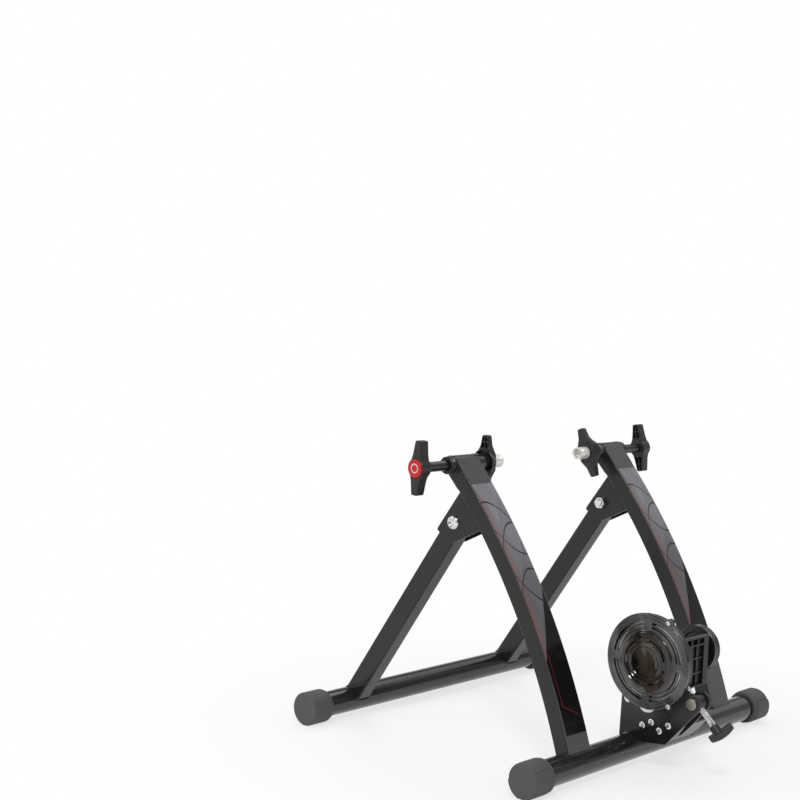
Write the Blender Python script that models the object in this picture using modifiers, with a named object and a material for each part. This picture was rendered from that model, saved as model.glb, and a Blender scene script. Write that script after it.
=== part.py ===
"""Folding bicycle trainer with a magnetic resistance unit.

A bowed rear frame carries two screw clamps that grip the rear axle, a front
frame folds against it about two bolts, and a tilting cradle holds the roller,
flywheel and eddy-current brake that the tyre drives.

Metres, +Z up. While modelling, Y is 0 under the clamp axis and grows towards
the front of the bicycle, and Z is 0 on the floor. The finished trainer is then
centred over the origin, on its bounding box.
"""
from math import acos, atan2, ceil, cos, pi, radians, sin, sqrt, tan

import bmesh
import bpy
from mathutils import Matrix, Vector

# Stand
AXLE_HEIGHT = 0.3946
REAR_TUBE_Y = -0.2155
FRONT_TUBE_Y = 0.1942
REAR_WIDTH = 0.560
FRONT_WIDTH = 0.547
TUBE_RADIUS = 0.0183
TUBE_WALL = 0.0015
FOOT_RADIUS = 0.0240
FOOT_LENGTH = 0.0385
FOOT_END_WALL = 0.0030
FOOT_GROOVE_AT = 0.0050

# Bowed rear legs
REAR_LEG_OUTER_X = 0.1933
REAR_LEG_WIDTH = 0.0466
REAR_LEG_DEPTH = 0.0241
REAR_LEG_BOW_RADIUS = 0.960
REAR_LEG_CORNER = 0.0030
LEG_WALL = 0.0015

# Straight front legs and their folding pivot
FRONT_LEG_OUTER_X = 0.1844
FRONT_LEG_WIDTH = 0.0250
FRONT_LEG_DEPTH = 0.0293
FRONT_LEG_CORNER = 0.0025
PIVOT_Y = -0.0035
PIVOT_DROP = 0.0795
PIVOT_BOLT_RADIUS = 0.0050
PIVOT_HEAD_RADIUS = 0.0100
PIVOT_HEAD_HEIGHT = 0.0040
PIVOT_NUT_RADIUS = 0.0092
PIVOT_NUT_HEIGHT = 0.0080
PLATE = 0.0025
PLATE_PLAY = 0.0004
BRACKET_TOP = (-0.0035, 0.0355)
BRACKET_NOSE = (0.0315, -0.0135)
BRACKET_CHIN = (0.0055, -0.0315)
BRACKET_HEEL = (-0.0425, -0.0075)

# Axle clamps
BARREL_RADIUS = 0.0125
BARREL_BORE = 0.0090
BARREL_INNER_X = 0.1270
BARREL_OUTER_X = 0.1990
BUSH_FLANGE_RADIUS = 0.0121
BUSH_FLANGE = 0.0045
BUSH_LENGTH = 0.0250
SCREW_RADIUS = 0.0070
SCREW_JOURNAL_RADIUS = 0.0050
CUP_RADIUS = 0.0092
CUP_END_X = 0.0910
CUP_LENGTH = 0.0220
CUP_RECESS = 0.0090
CUP_RECESS_RADIUS = 0.0068
LOCK_NUT_LENGTH = 0.0130
LOCK_NUT_HUB = 0.0140
LOCK_NUT_REACH = 0.0380
HANDLE_INNER_X = 0.2480
HANDLE_LENGTH = 0.0175
HANDLE_HUB = 0.0128
HANDLE_REACH = 0.0373
WING_TIP = 0.0090
DISC_RADIUS = 0.0115
DISC_THICKNESS = 0.0012
LEFT_HANDLE_TURN = radians(-4)
RIGHT_HANDLE_TURN = radians(10)
LEFT_NUT_TURN = radians(0)
RIGHT_NUT_TURN = radians(23)

# Resistance unit, placed from the axis of the rear tube
UNIT_BACK = 0.0360
UNIT_UP = 0.1273
CRADLE_PIVOT_BACK = 0.0265
CRADLE_PIVOT_UP = 0.0666
TRUNNION_BACK = 0.0955
TRUNNION_UP = 0.0791
ROLLER_RADIUS = 0.0155
ROLLER_LENGTH = 0.0600
ROLLER_CENTRE_X = -0.0065
SHAFT_RADIUS = 0.0050
BEARING_RADIUS = 0.0130
BEARING_WIDTH = 0.0080
ARM_WIDTH = 0.0100
ARM_END_RADIUS = 0.0170
WALL_BEHIND_AXIS = 0.0210
WALL_DEPTH = 0.0070
WALL_SKIN = 0.0028
RIB = 0.0022
RIB_ROWS = 4
RIB_COLUMNS = 4
WALL_ABOVE_AXIS = 0.0263
WALL_BELOW_AXIS = 0.0417
CRADLE_HUB_RADIUS = 0.0110
CRADLE_BOLT_RADIUS = 0.0050
CRADLE_HEAD_RADIUS = 0.0140
CRADLE_HEAD_HEIGHT = 0.0026
HOUSING_RADIUS = 0.0625
HOUSING_WALL = 0.0022
HOUSING_BACK_X = -0.0555
HOUSING_DEPTH = 0.0135
COVER_SIDE = 0.0016
COVER_WALL = 0.0020
COVER_DOME_RISE = 0.0055
COVER_SKIRT = 0.0050
COVER_DOME_RADIUS = 0.0390
SLOT_RINGS = ((0.0516, 0.0030), (0.0458, 0.0024), (0.0300, 0.0028))
SLOT_SPOKE = 0.0110
HOUSING_BOSS_RADIUS = 0.0240
HOUSING_BORE = 0.0145
LUG_RADIUS = 0.0052
LUG_THICKNESS = 0.0035
LUG_SETBACK = 0.0012
LUG_ANGLES = (radians(118), radians(-124))
LUG_SCREW_RADIUS = 0.0015
LUG_SCREW_HEAD_RADIUS = 0.0034
MAGNET_COUNT = 6
MAGNET_RING = 0.0410
MAGNET_RADIUS = 0.0070
MAGNET_PLATE = 0.0020
MAGNET_HEIGHT = 0.0012
ROTOR_GAP = 0.0012
ROTOR_RADIUS = 0.0540
ROTOR_THICKNESS = 0.0030
ROTOR_HUB_RADIUS = 0.0085
SHAFT_NUT_RADIUS = 0.0092
SHAFT_NUT_HEIGHT = 0.0060
FLYWHEEL_RADIUS = 0.0314
FLYWHEEL_WIDTH = 0.0130
FLYWHEEL_INNER_X = 0.0470

# Bracket that joins the unit to the rear tube
NEAR_CHEEK_X = -0.0515
FAR_CHEEK_X = 0.0190
RIB_X = -0.0280
EAR_RADIUS = 0.0135
TRUNNION_RADIUS = 0.0105
TRUNNION_JOURNAL = 0.0060
TRUNNION_HEAD_RADIUS = 0.0085
TRUNNION_HEAD_HEIGHT = 0.0025
SCREW_HEAD_RADIUS = 0.0045
SCREW_HEAD_HEIGHT = 0.0028
SCREW_SHANK_RADIUS = 0.0025
SCREW_SHANK_LENGTH = 0.0080
CHEEK_SCREWS = ((-0.0215, 0.0346), (-0.0355, 0.0416), (-0.0485, 0.0326), (-0.0625, 0.0426))
STOP_BOLT_AT = (0.0035, 0.0666)
STOP_BOLT_HEAD_RADIUS = 0.0060

# Tension adjuster
ADJUSTER_ANGLE = radians(44)
ADJUSTER_RADIUS = 0.0040
THRUST_TIP_RADIUS = 0.0060
THRUST_TIP_LENGTH = 0.0060
PAD_RISE = 0.0030
PAD_RADIUS = 0.0085
PAD_LENGTH = 0.0100
KNOB_FROM_TRUNNION = 0.0370
KNOB_BOSS_RADIUS = 0.0068
KNOB_BOSS_LENGTH = 0.0080
KNOB_GRIP_LENGTH = 0.0350
KNOB_GRIP_OFFSET = -0.0034
KNOB_GRIP_WIDTH = 0.0090
KNOB_GRIP_HEIGHT = 0.0120
KNOB_TURN = radians(-56)

# Clearances
GAP = 0.0003
ROUND_SIDES = 28
SMALL_SIDES = 14
DRUM_SIDES = 40

# Derived positions in the side view, as (Y, Z)
CLAMP_AXIS = Vector((0, AXLE_HEIGHT))
REAR_TUBE = Vector((REAR_TUBE_Y, FOOT_RADIUS))
FRONT_TUBE = Vector((FRONT_TUBE_Y, FOOT_RADIUS))
FOLD_PIVOT = Vector((PIVOT_Y, AXLE_HEIGHT - PIVOT_DROP))
UNIT_AXIS = REAR_TUBE + Vector((-UNIT_BACK, UNIT_UP))
CRADLE_PIVOT = REAR_TUBE + Vector((-CRADLE_PIVOT_BACK, CRADLE_PIVOT_UP))
TRUNNION = REAR_TUBE + Vector((-TRUNNION_BACK, TRUNNION_UP))
ADJUSTER_UP = Vector((cos(ADJUSTER_ANGLE), sin(ADJUSTER_ANGLE)))
ADJUSTER_X = (NEAR_CHEEK_X + PLATE + RIB_X) / 2
THRUST_FACE = (CRADLE_PIVOT - TRUNNION).dot(ADJUSTER_UP) - PAD_RISE
LEFT_ARM_X = NEAR_CHEEK_X + PLATE + 0.0005
RIGHT_ARM_X = ROLLER_CENTRE_X + ROLLER_LENGTH / 2 + 0.0020

# Side-view frame: local x is world Y, local y is world Z, local z is world X
SIDE_VIEW = Matrix(((0, 0, 1, 0), (1, 0, 0, 0), (0, 1, 0, 0), (0, 0, 0, 1)))

# In the side view the adjuster's own z runs up the rod, towards the cradle
ADJUSTER_IN_SIDE_VIEW = Matrix.Rotation(ADJUSTER_ANGLE, 4, "Z") @ Matrix.Rotation(pi / 2, 4, "Y")
ADJUSTER_TURN = SIDE_VIEW @ ADJUSTER_IN_SIDE_VIEW


# Scene

for old in list(bpy.data.objects):
    bpy.data.objects.remove(old)

trainer = bpy.data.collections.new("bike_trainer")
workshop = bpy.data.collections.new("workshop")
bpy.context.scene.collection.children.link(trainer)
bpy.context.scene.collection.children.link(workshop)
axis_points = {}


def material(name, colour, roughness, metallic):
    """A Principled material with a plain colour."""
    made = bpy.data.materials.new(name)
    made.use_nodes = True
    made.diffuse_color = (*colour, 1)
    shader = made.node_tree.nodes["Principled BSDF"]
    shader.inputs["Base Color"].default_value = (*colour, 1)
    shader.inputs["Roughness"].default_value = roughness
    shader.inputs["Metallic"].default_value = metallic
    return made


BLACK_PAINT = material("gloss_black_paint", (0.012, 0.012, 0.013), 0.18, 0.0)
RUBBER = material("dark_rubber", (0.045, 0.046, 0.048), 0.75, 0.0)
BLACK_PLASTIC = material("black_plastic", (0.018, 0.018, 0.020), 0.42, 0.0)
GLOSS_PLASTIC = material("gloss_black_plastic", (0.010, 0.010, 0.011), 0.12, 0.0)
CAST_METAL = material("black_casting", (0.014, 0.014, 0.015), 0.55, 0.3)
BRIGHT_STEEL = material("zinc_steel", (0.62, 0.62, 0.60), 0.28, 1.0)
BRASS = material("brass", (0.60, 0.52, 0.34), 0.30, 1.0)
ALUMINIUM = material("aluminium", (0.66, 0.67, 0.68), 0.32, 1.0)
RED_DISC = material("red_disc", (0.62, 0.020, 0.018), 0.25, 0.0)
MAGNET = material("magnet", (0.10, 0.10, 0.11), 0.35, 0.9)


# Shapes. Each function returns a mesh, and meshes are cut and joined before they are placed

def evaluated(obj):
    """The mesh of an object with its modifiers, as new data; the object is removed."""
    bpy.context.view_layer.update()
    seen = obj.evaluated_get(bpy.context.evaluated_depsgraph_get())
    mesh = bpy.data.meshes.new_from_object(seen)
    bpy.data.objects.remove(obj)
    return mesh


def cleaned(mesh, distance=1e-6, flat=False):
    """Welds loose caps, turns every face outwards and can merge triangles that lie flat."""
    work = bmesh.new()
    work.from_mesh(mesh)
    bmesh.ops.remove_doubles(work, verts=work.verts, dist=distance)
    bmesh.ops.dissolve_degenerate(work, edges=work.edges, dist=distance)
    bmesh.ops.recalc_face_normals(work, faces=work.faces)
    if flat:
        bmesh.ops.dissolve_limit(work, angle_limit=radians(0.05), verts=work.verts, edges=work.edges)
        bmesh.ops.triangulate(work, faces=[f for f in work.faces if len(f.verts) > 4])
    work.to_mesh(mesh)
    work.free()
    return mesh


def plate(outline, thickness, start=0.0, holes=()):
    """A flat outline with its holes, from start to start + thickness along local z."""
    curve = bpy.data.curves.new("outline", "CURVE")
    curve.dimensions = "2D"
    curve.fill_mode = "BOTH"
    curve.extrude = thickness / 2
    for loop in (outline, *holes):
        spline = curve.splines.new("POLY")
        spline.points.add(len(loop) - 1)
        for point, place in zip(spline.points, loop):
            point.co = (place[0], place[1], 0, 1)
        spline.use_cyclic_u = True
    drawn = bpy.data.objects.new("outline", curve)
    workshop.objects.link(drawn)
    mesh = cleaned(evaluated(drawn))
    mesh.transform(Matrix.Translation((0, 0, start + thickness / 2)))
    return mesh


def cylinder(radius, start, end, centre=(0, 0), sides=ROUND_SIDES, end_radius=None):
    """A cylinder or cone along local z."""
    work = bmesh.new()
    bmesh.ops.create_cone(work, cap_ends=True, segments=sides, radius1=radius,
                          radius2=radius if end_radius is None else end_radius,
                          depth=end - start)
    bmesh.ops.translate(work, verts=work.verts, vec=(*centre, (start + end) / 2))
    mesh = bpy.data.meshes.new("cylinder")
    work.to_mesh(mesh)
    work.free()
    return mesh


def box(low, high):
    """A block between two opposite corners."""
    low, high = Vector(low), Vector(high)
    work = bmesh.new()
    bmesh.ops.create_cube(work, size=1)
    bmesh.ops.scale(work, verts=work.verts, vec=high - low)
    bmesh.ops.translate(work, verts=work.verts, vec=(low + high) / 2)
    mesh = bpy.data.meshes.new("box")
    work.to_mesh(mesh)
    work.free()
    return mesh


def turned(profile, closed=True, steps=ROUND_SIDES):
    """A profile of (radius, height) turned about local z, outer side from top to bottom."""
    mesh = bpy.data.meshes.new("profile")
    edges = [(i, i + 1) for i in range(len(profile) - 1)]
    if closed:
        edges.append((len(profile) - 1, 0))
    mesh.from_pydata([(r, 0, h) for r, h in profile], edges, [])
    turning = bpy.data.objects.new("profile", mesh)
    workshop.objects.link(turning)
    screw = turning.modifiers.new("turn", "SCREW")
    screw.steps = steps
    screw.render_steps = steps
    screw.use_merge_vertices = True
    screw.merge_threshold = 1e-5
    return cleaned(evaluated(turning))


def ring(inner, outer, start, end, steps=ROUND_SIDES):
    """A plain sleeve along local z."""
    return turned([(outer, end), (outer, start), (inner, start), (inner, end)], steps=steps)


def moved(mesh, matrix):
    """A copy of a mesh in another place."""
    copy = mesh.copy()
    copy.transform(matrix)
    return copy


def together(*meshes):
    """Several separate shapes in one mesh, to cut or join in one go."""
    work = bmesh.new()
    for mesh in meshes:
        work.from_mesh(mesh)
    mesh = bpy.data.meshes.new("together")
    work.to_mesh(mesh)
    work.free()
    return mesh


def modified(mesh, kind, **settings):
    """The mesh after one modifier."""
    holder = bpy.data.objects.new("holder", mesh)
    workshop.objects.link(holder)
    modifier = holder.modifiers.new(kind.lower(), kind)
    for setting, value in settings.items():
        setattr(modifier, setting, value)
    return evaluated(holder)


def boolean(operation, first, others):
    """Joins other meshes to the first, or cuts them out of it."""
    result = first
    for other in others:
        tool = bpy.data.objects.new("tool", other)
        workshop.objects.link(tool)
        tool.hide_render = True
        tool.display_type = "WIRE"
        result = modified(result, "BOOLEAN", operation=operation, object=tool, solver="EXACT")
        bpy.data.objects.remove(tool)
    return cleaned(result, flat=True)


def cut(first, *others):
    return boolean("DIFFERENCE", first, others)


def joined(first, *others):
    return boolean("UNION", first, others)


def bevelled(mesh, width, segments=2, angle=radians(50)):
    """Rounds the sharp edges of a mesh."""
    return modified(mesh, "BEVEL", width=width, segments=segments, limit_method="ANGLE", angle_limit=angle)


# Plane geometry for outlines

def circle(centre, radius, count=SMALL_SIDES, start=0.0):
    return [(centre[0] + radius * cos(start + 2 * pi * i / count),
             centre[1] + radius * sin(start + 2 * pi * i / count)) for i in range(count)]


def arc(centre, radius, start, end, count):
    return [(centre[0] + radius * cos(start + (end - start) * i / count),
             centre[1] + radius * sin(start + (end - start) * i / count)) for i in range(count + 1)]


def hull(points):
    """The convex outline round a set of points."""
    points = sorted(set((round(x, 9), round(y, 9)) for x, y in points))

    def chain(run):
        kept = []
        for p in run:
            while len(kept) > 1 and ((kept[-1][0] - kept[-2][0]) * (p[1] - kept[-2][1])
                                     - (kept[-1][1] - kept[-2][1]) * (p[0] - kept[-2][0])) <= 1e-12:
                kept.pop()
            kept.append(p)
        return kept[:-1]

    return chain(points) + chain(points[::-1])


def filleted(corners, count=3):
    """An outline from corners given as (x, y, radius), each rounded by its radius."""
    outline = []
    for i, (x, y, radius) in enumerate(corners):
        here = Vector((x, y))
        before = (Vector(corners[i - 1][:2]) - here).normalized()
        after = (Vector(corners[(i + 1) % len(corners)][:2]) - here).normalized()
        half = acos(max(-1, min(1, before.dot(after)))) / 2
        if radius <= 0 or half > radians(88):
            outline.append((x, y))
            continue
        centre = here + (before + after).normalized() * radius / sin(half)
        first = here + before * radius / tan(half) - centre
        sweep = first.angle_signed(here + after * radius / tan(half) - centre)
        angle = atan2(first.y, first.x)
        outline += arc(centre, radius, angle, angle - sweep, count)
    return outline


def arc_centre(first, second, radius):
    """The centre of an arc through two points, on its lower right side."""
    chord = second - first
    side = Vector((-chord.y, chord.x)).normalized()
    if side.x < 0:
        side = -side
    return (first + second) / 2 + side * sqrt(radius ** 2 - chord.length_squared / 4)


def meet_circle(start, end, centre, radius):
    """Where the line from start through end first reaches a circle, past end."""
    way = (end - start).normalized()
    offset = start - centre
    along = -offset.dot(way)
    reach = sqrt(radius ** 2 - (offset.length_squared - along ** 2))
    return start + way * (along + reach)


def side(point, centre=(0, 0)):
    """A side-view point as a plain pair, measured from a centre."""
    return (point[0] - centre[0], point[1] - centre[1])


# Placing

def axis_empty(name, point, parent=None):
    """An empty on a joint's axis, at (X, Y, Z) of the standing trainer."""
    empty = bpy.data.objects.new(name, None)
    empty.empty_display_size = 0.03
    workshop.objects.link(empty)
    axis_points[name] = Vector(point)
    if parent:
        empty.parent = parent
        empty.location = Vector(point) - axis_points[parent.name]
    else:
        empty.location = point
    return empty


def place(name, mesh, paint, parent, point, turn=SIDE_VIEW, sharp=radians(32)):
    """Names a mesh and puts its origin at (X, Y, Z), under a parent that isn't turned."""
    mesh.name = name
    mesh.materials.clear()
    mesh.materials.append(paint)
    mesh.shade_smooth()
    mesh.set_sharp_from_angle(angle=sharp)
    obj = bpy.data.objects.new(name, mesh)
    trainer.objects.link(obj)
    obj.parent = parent
    obj.location = Vector(point) - axis_points[parent.name]
    obj.rotation_euler = turn.to_euler()
    return obj


stand = axis_empty("stand", (0, 0, 0))
fold_axis = axis_empty("fold_axis", (0, *FOLD_PIVOT), stand)
tilt_axis = axis_empty("tilt_axis", (0, *CRADLE_PIVOT), stand)
roller_axis = axis_empty("roller_axis", (0, *UNIT_AXIS), tilt_axis)
adjuster_axis = axis_empty("adjuster_axis", (ADJUSTER_X, *TRUNNION), stand)
clamp_axes = {s: axis_empty(f"clamp_axis_{n}", (0, *CLAMP_AXIS), stand) for s, n in ((-1, "left"), (1, "right"))}
SIDES = ((-1, "left"), (1, "right"))


# Base tubes: round steel tube, open under the rubber feet

def base_tube(name, width, point, parent):
    half = width / 2 - FOOT_END_WALL - GAP
    place(name, ring(TUBE_RADIUS - TUBE_WALL, TUBE_RADIUS, -half, half), BLACK_PAINT, parent, (0, *point))


base_tube("rear_base_tube", REAR_WIDTH, REAR_TUBE, stand)
base_tube("front_base_tube", FRONT_WIDTH, FRONT_TUBE, fold_axis)


# Rubber feet: moulded cups with a groove near the mouth

def foot(name, s, width, point, parent):
    bore = TUBE_RADIUS + GAP
    groove = FOOT_RADIUS - 0.0009
    edge = 0.0022
    profile = [
        (0, 0),
        (FOOT_RADIUS - edge, 0),
        (FOOT_RADIUS - edge * 0.3, -edge * 0.3),
        (FOOT_RADIUS, -edge),
        (FOOT_RADIUS, FOOT_GROOVE_AT + 0.0012 - FOOT_LENGTH),
        (groove, FOOT_GROOVE_AT + 0.0006 - FOOT_LENGTH),
        (groove, FOOT_GROOVE_AT - 0.0006 - FOOT_LENGTH),
        (FOOT_RADIUS, FOOT_GROOVE_AT - 0.0012 - FOOT_LENGTH),
        (FOOT_RADIUS, -FOOT_LENGTH),
        (bore, -FOOT_LENGTH),
        (bore, -FOOT_END_WALL),
        (0, -FOOT_END_WALL),
    ]
    mesh = turned(profile, closed=False)
    if s < 0:
        mesh = moved(mesh, Matrix.Rotation(pi, 4, "Y"))
    place(name, mesh, RUBBER, parent, (s * width / 2, *point))


for s, n in SIDES:
    foot(f"rear_foot_{n}", s, REAR_WIDTH, REAR_TUBE, stand)
    foot(f"front_foot_{n}", s, FRONT_WIDTH, FRONT_TUBE, fold_axis)


# Rear legs: rectangular tube bowed through both tube axes, notched over barrel and base tube

BOW_CENTRE = arc_centre(CLAMP_AXIS, REAR_TUBE, REAR_LEG_BOW_RADIUS)
LEG_FRONT_RADIUS = REAR_LEG_BOW_RADIUS - REAR_LEG_DEPTH / 2
LEG_CENTRE_X = REAR_LEG_OUTER_X - REAR_LEG_WIDTH / 2


def bow_angle(point):
    return atan2(point[1] - BOW_CENTRE[1], point[0] - BOW_CENTRE[0])


def bowed_strip(inner, outer, extra, count=12):
    """The side view of a bowed strip that runs past both axes by an extra length."""
    start = bow_angle(CLAMP_AXIS) - extra / REAR_LEG_BOW_RADIUS
    end = bow_angle(REAR_TUBE) + extra / REAR_LEG_BOW_RADIUS
    return arc(BOW_CENTRE, inner, start, end, count) + arc(BOW_CENTRE, outer, end, start, count)


def rear_leg():
    back = LEG_FRONT_RADIUS + REAR_LEG_DEPTH
    skin = plate(bowed_strip(LEG_FRONT_RADIUS, back, 0), REAR_LEG_WIDTH, -REAR_LEG_WIDTH / 2)
    skin = bevelled(skin, REAR_LEG_CORNER)
    hollow = plate(bowed_strip(LEG_FRONT_RADIUS + LEG_WALL, back - LEG_WALL, 0.02),
                   REAR_LEG_WIDTH - 2 * LEG_WALL, LEG_WALL - REAR_LEG_WIDTH / 2)
    reach = REAR_LEG_WIDTH
    return cut(skin, hollow,
               cylinder(BARREL_RADIUS + GAP, -reach, reach, CLAMP_AXIS),
               cylinder(TUBE_RADIUS + GAP, -reach, reach, REAR_TUBE))


LEG_MESH = rear_leg()
for s, n in SIDES:
    place(f"rear_leg_{n}", LEG_MESH.copy(), BLACK_PAINT, stand, (s * LEG_CENTRE_X, 0, 0))


# Pivot brackets: folded plate on the front face of each rear leg

FRONT_LEG_CENTRE_X = FRONT_LEG_OUTER_X - FRONT_LEG_WIDTH / 2
BRACKET_WIDTH = FRONT_LEG_WIDTH + 2 * (PLATE_PLAY + PLATE)


def pivot_bracket():
    nose = FOLD_PIVOT + Vector(BRACKET_NOSE)
    chin = FOLD_PIVOT + Vector(BRACKET_CHIN)
    back = LEG_FRONT_RADIUS - GAP
    top = meet_circle(nose, FOLD_PIVOT + Vector(BRACKET_TOP), BOW_CENTRE, back)
    heel = meet_circle(chin, FOLD_PIVOT + Vector(BRACKET_HEEL), BOW_CENTRE, back)
    against_leg = arc(BOW_CENTRE, back, bow_angle(top), bow_angle(heel), 4)
    front = filleted([(*heel, 0), (*chin, 0.006), (*nose, 0.003), (*top, 0)])[1:-1]
    body = plate(against_leg + front, BRACKET_WIDTH, -BRACKET_WIDTH / 2)
    far = 0.2
    between = arc(BOW_CENTRE, back - PLATE, bow_angle(top) - 0.03, bow_angle(heel) + 0.03, 6)
    between += [side(Vector(between[-1]) + Vector((far, -far))), side(Vector(between[0]) + Vector((far, far)))]
    inside = BRACKET_WIDTH - 2 * PLATE
    hole = cylinder(PIVOT_BOLT_RADIUS + GAP, -0.03, 0.03, FOLD_PIVOT, SMALL_SIDES)
    return cut(body, plate(between, inside, -inside / 2), hole)


BRACKET_MESH = pivot_bracket()
for s, n in SIDES:
    place(f"pivot_bracket_{n}", BRACKET_MESH.copy(), BLACK_PAINT, stand, (s * FRONT_LEG_CENTRE_X, 0, 0))


# Front legs: straight rectangular tube from the pivot to the front base tube

FRONT_RUN = FRONT_TUBE - FOLD_PIVOT
FRONT_LEG_LEAN = atan2(FRONT_RUN.x, -FRONT_RUN.y)
WEB_REACH = (BOW_CENTRE - FOLD_PIVOT).length
WEB_ROOM = LEG_FRONT_RADIUS - GAP - PLATE - WEB_REACH
FRONT_LEG_TOP = sqrt((WEB_ROOM - GAP) ** 2 - (FRONT_LEG_DEPTH / 2) ** 2)


def front_leg():
    """Local y runs up the leg from the pivot, local x forwards, local z along X."""
    deep, wide = FRONT_LEG_DEPTH / 2, FRONT_LEG_WIDTH
    length = FRONT_RUN.length
    outline = [(-deep, -length), (deep, -length), (deep, FRONT_LEG_TOP), (-deep, FRONT_LEG_TOP)]
    skin = bevelled(plate(outline, wide, -wide / 2), FRONT_LEG_CORNER)
    thin = deep - LEG_WALL
    hollow = [(-thin, -length - 0.02), (thin, -length - 0.02), (thin, FRONT_LEG_TOP + 0.01), (-thin, FRONT_LEG_TOP + 0.01)]
    return cut(skin, plate(hollow, wide - 2 * LEG_WALL, LEG_WALL - wide / 2),
               cylinder(TUBE_RADIUS + GAP, -wide, wide, (0, -length)),
               cylinder(PIVOT_BOLT_RADIUS + GAP, -wide, wide, (0, 0), SMALL_SIDES))


FRONT_LEG_MESH = front_leg()
for s, n in SIDES:
    place(f"front_leg_{n}", FRONT_LEG_MESH.copy(), BLACK_PAINT, fold_axis,
          (s * FRONT_LEG_CENTRE_X, *FOLD_PIVOT), SIDE_VIEW @ Matrix.Rotation(FRONT_LEG_LEAN, 4, "Z"))


# Pivot bolts and nuts: domed cross-slot head outside, hexagon nut inside

def hexagon_nut(radius, bore, start, end):
    return plate(circle((0, 0), radius, 6), end - start, start, [circle((0, 0), bore)])


for s, n in SIDES:
    out = BRACKET_WIDTH / 2 + GAP
    inward = out + PIVOT_NUT_HEIGHT + 0.002
    head = PIVOT_HEAD_RADIUS
    bolt = turned([
        (0, out + PIVOT_HEAD_HEIGHT),
        (head * 0.6, out + PIVOT_HEAD_HEIGHT * 0.9),
        (head * 0.9, out + PIVOT_HEAD_HEIGHT * 0.6),
        (head, out + PIVOT_HEAD_HEIGHT * 0.25),
        (head, out),
        (PIVOT_BOLT_RADIUS, out),
        (PIVOT_BOLT_RADIUS, -inward),
        (0, -inward),
    ], closed=False, steps=SMALL_SIDES)
    slot_floor = out + PIVOT_HEAD_HEIGHT * 0.45
    slots = [box((-head * 0.55, -0.0009, slot_floor), (head * 0.55, 0.0009, out + 0.01)),
             box((-0.0009, -head * 0.55, slot_floor + 0.0001), (0.0009, head * 0.55, out + 0.011))]
    bolt = cut(bolt, *slots)
    nut = hexagon_nut(PIVOT_NUT_RADIUS, PIVOT_BOLT_RADIUS + GAP, -out - PIVOT_NUT_HEIGHT, -out)
    if s < 0:
        flip = Matrix.Rotation(pi, 4, "Y")
        bolt, nut = moved(bolt, flip), moved(nut, flip)
    place(f"pivot_bolt_{n}", bolt, BRIGHT_STEEL, stand, (s * FRONT_LEG_CENTRE_X, *FOLD_PIVOT))
    place(f"pivot_nut_{n}", nut, BRIGHT_STEEL, stand, (s * FRONT_LEG_CENTRE_X, *FOLD_PIVOT))


# Clamp heads: barrel welded on each rear leg, with a threaded bush in its outer end

for s, n in SIDES:
    barrel = ring(BARREL_BORE, BARREL_RADIUS, BARREL_INNER_X, BARREL_OUTER_X)
    face = BARREL_OUTER_X + GAP
    sleeve = BARREL_BORE - GAP
    bore = SCREW_RADIUS + GAP
    bush = turned([
        (BUSH_FLANGE_RADIUS, face + BUSH_FLANGE),
        (BUSH_FLANGE_RADIUS, face),
        (sleeve, face),
        (sleeve, face - BUSH_LENGTH),
        (bore, face - BUSH_LENGTH),
        (bore, face + BUSH_FLANGE),
    ])
    if s < 0:
        flip = Matrix.Rotation(pi, 4, "Y")
        barrel, bush = moved(barrel, flip), moved(bush, flip)
    place(f"head_barrel_{n}", barrel, BLACK_PAINT, stand, (0, *CLAMP_AXIS))
    place(f"head_bush_{n}", bush, BLACK_PLASTIC, stand, (0, *CLAMP_AXIS))


# Axle clamps: cup, screw, lock nut and T-handle on one axis for each side

def winged(hub, reach, tip, thickness, start):
    """A hub with two tapering wings along local y."""
    points = circle((0, 0), hub, ROUND_SIDES)
    corner = tip * 0.3
    for up in (-1, 1):
        for across in (-1, 1):
            points += circle((across * (tip / 2 - corner), up * (reach - corner)), corner, 12)
    return plate(hull(points), thickness, start)


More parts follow.
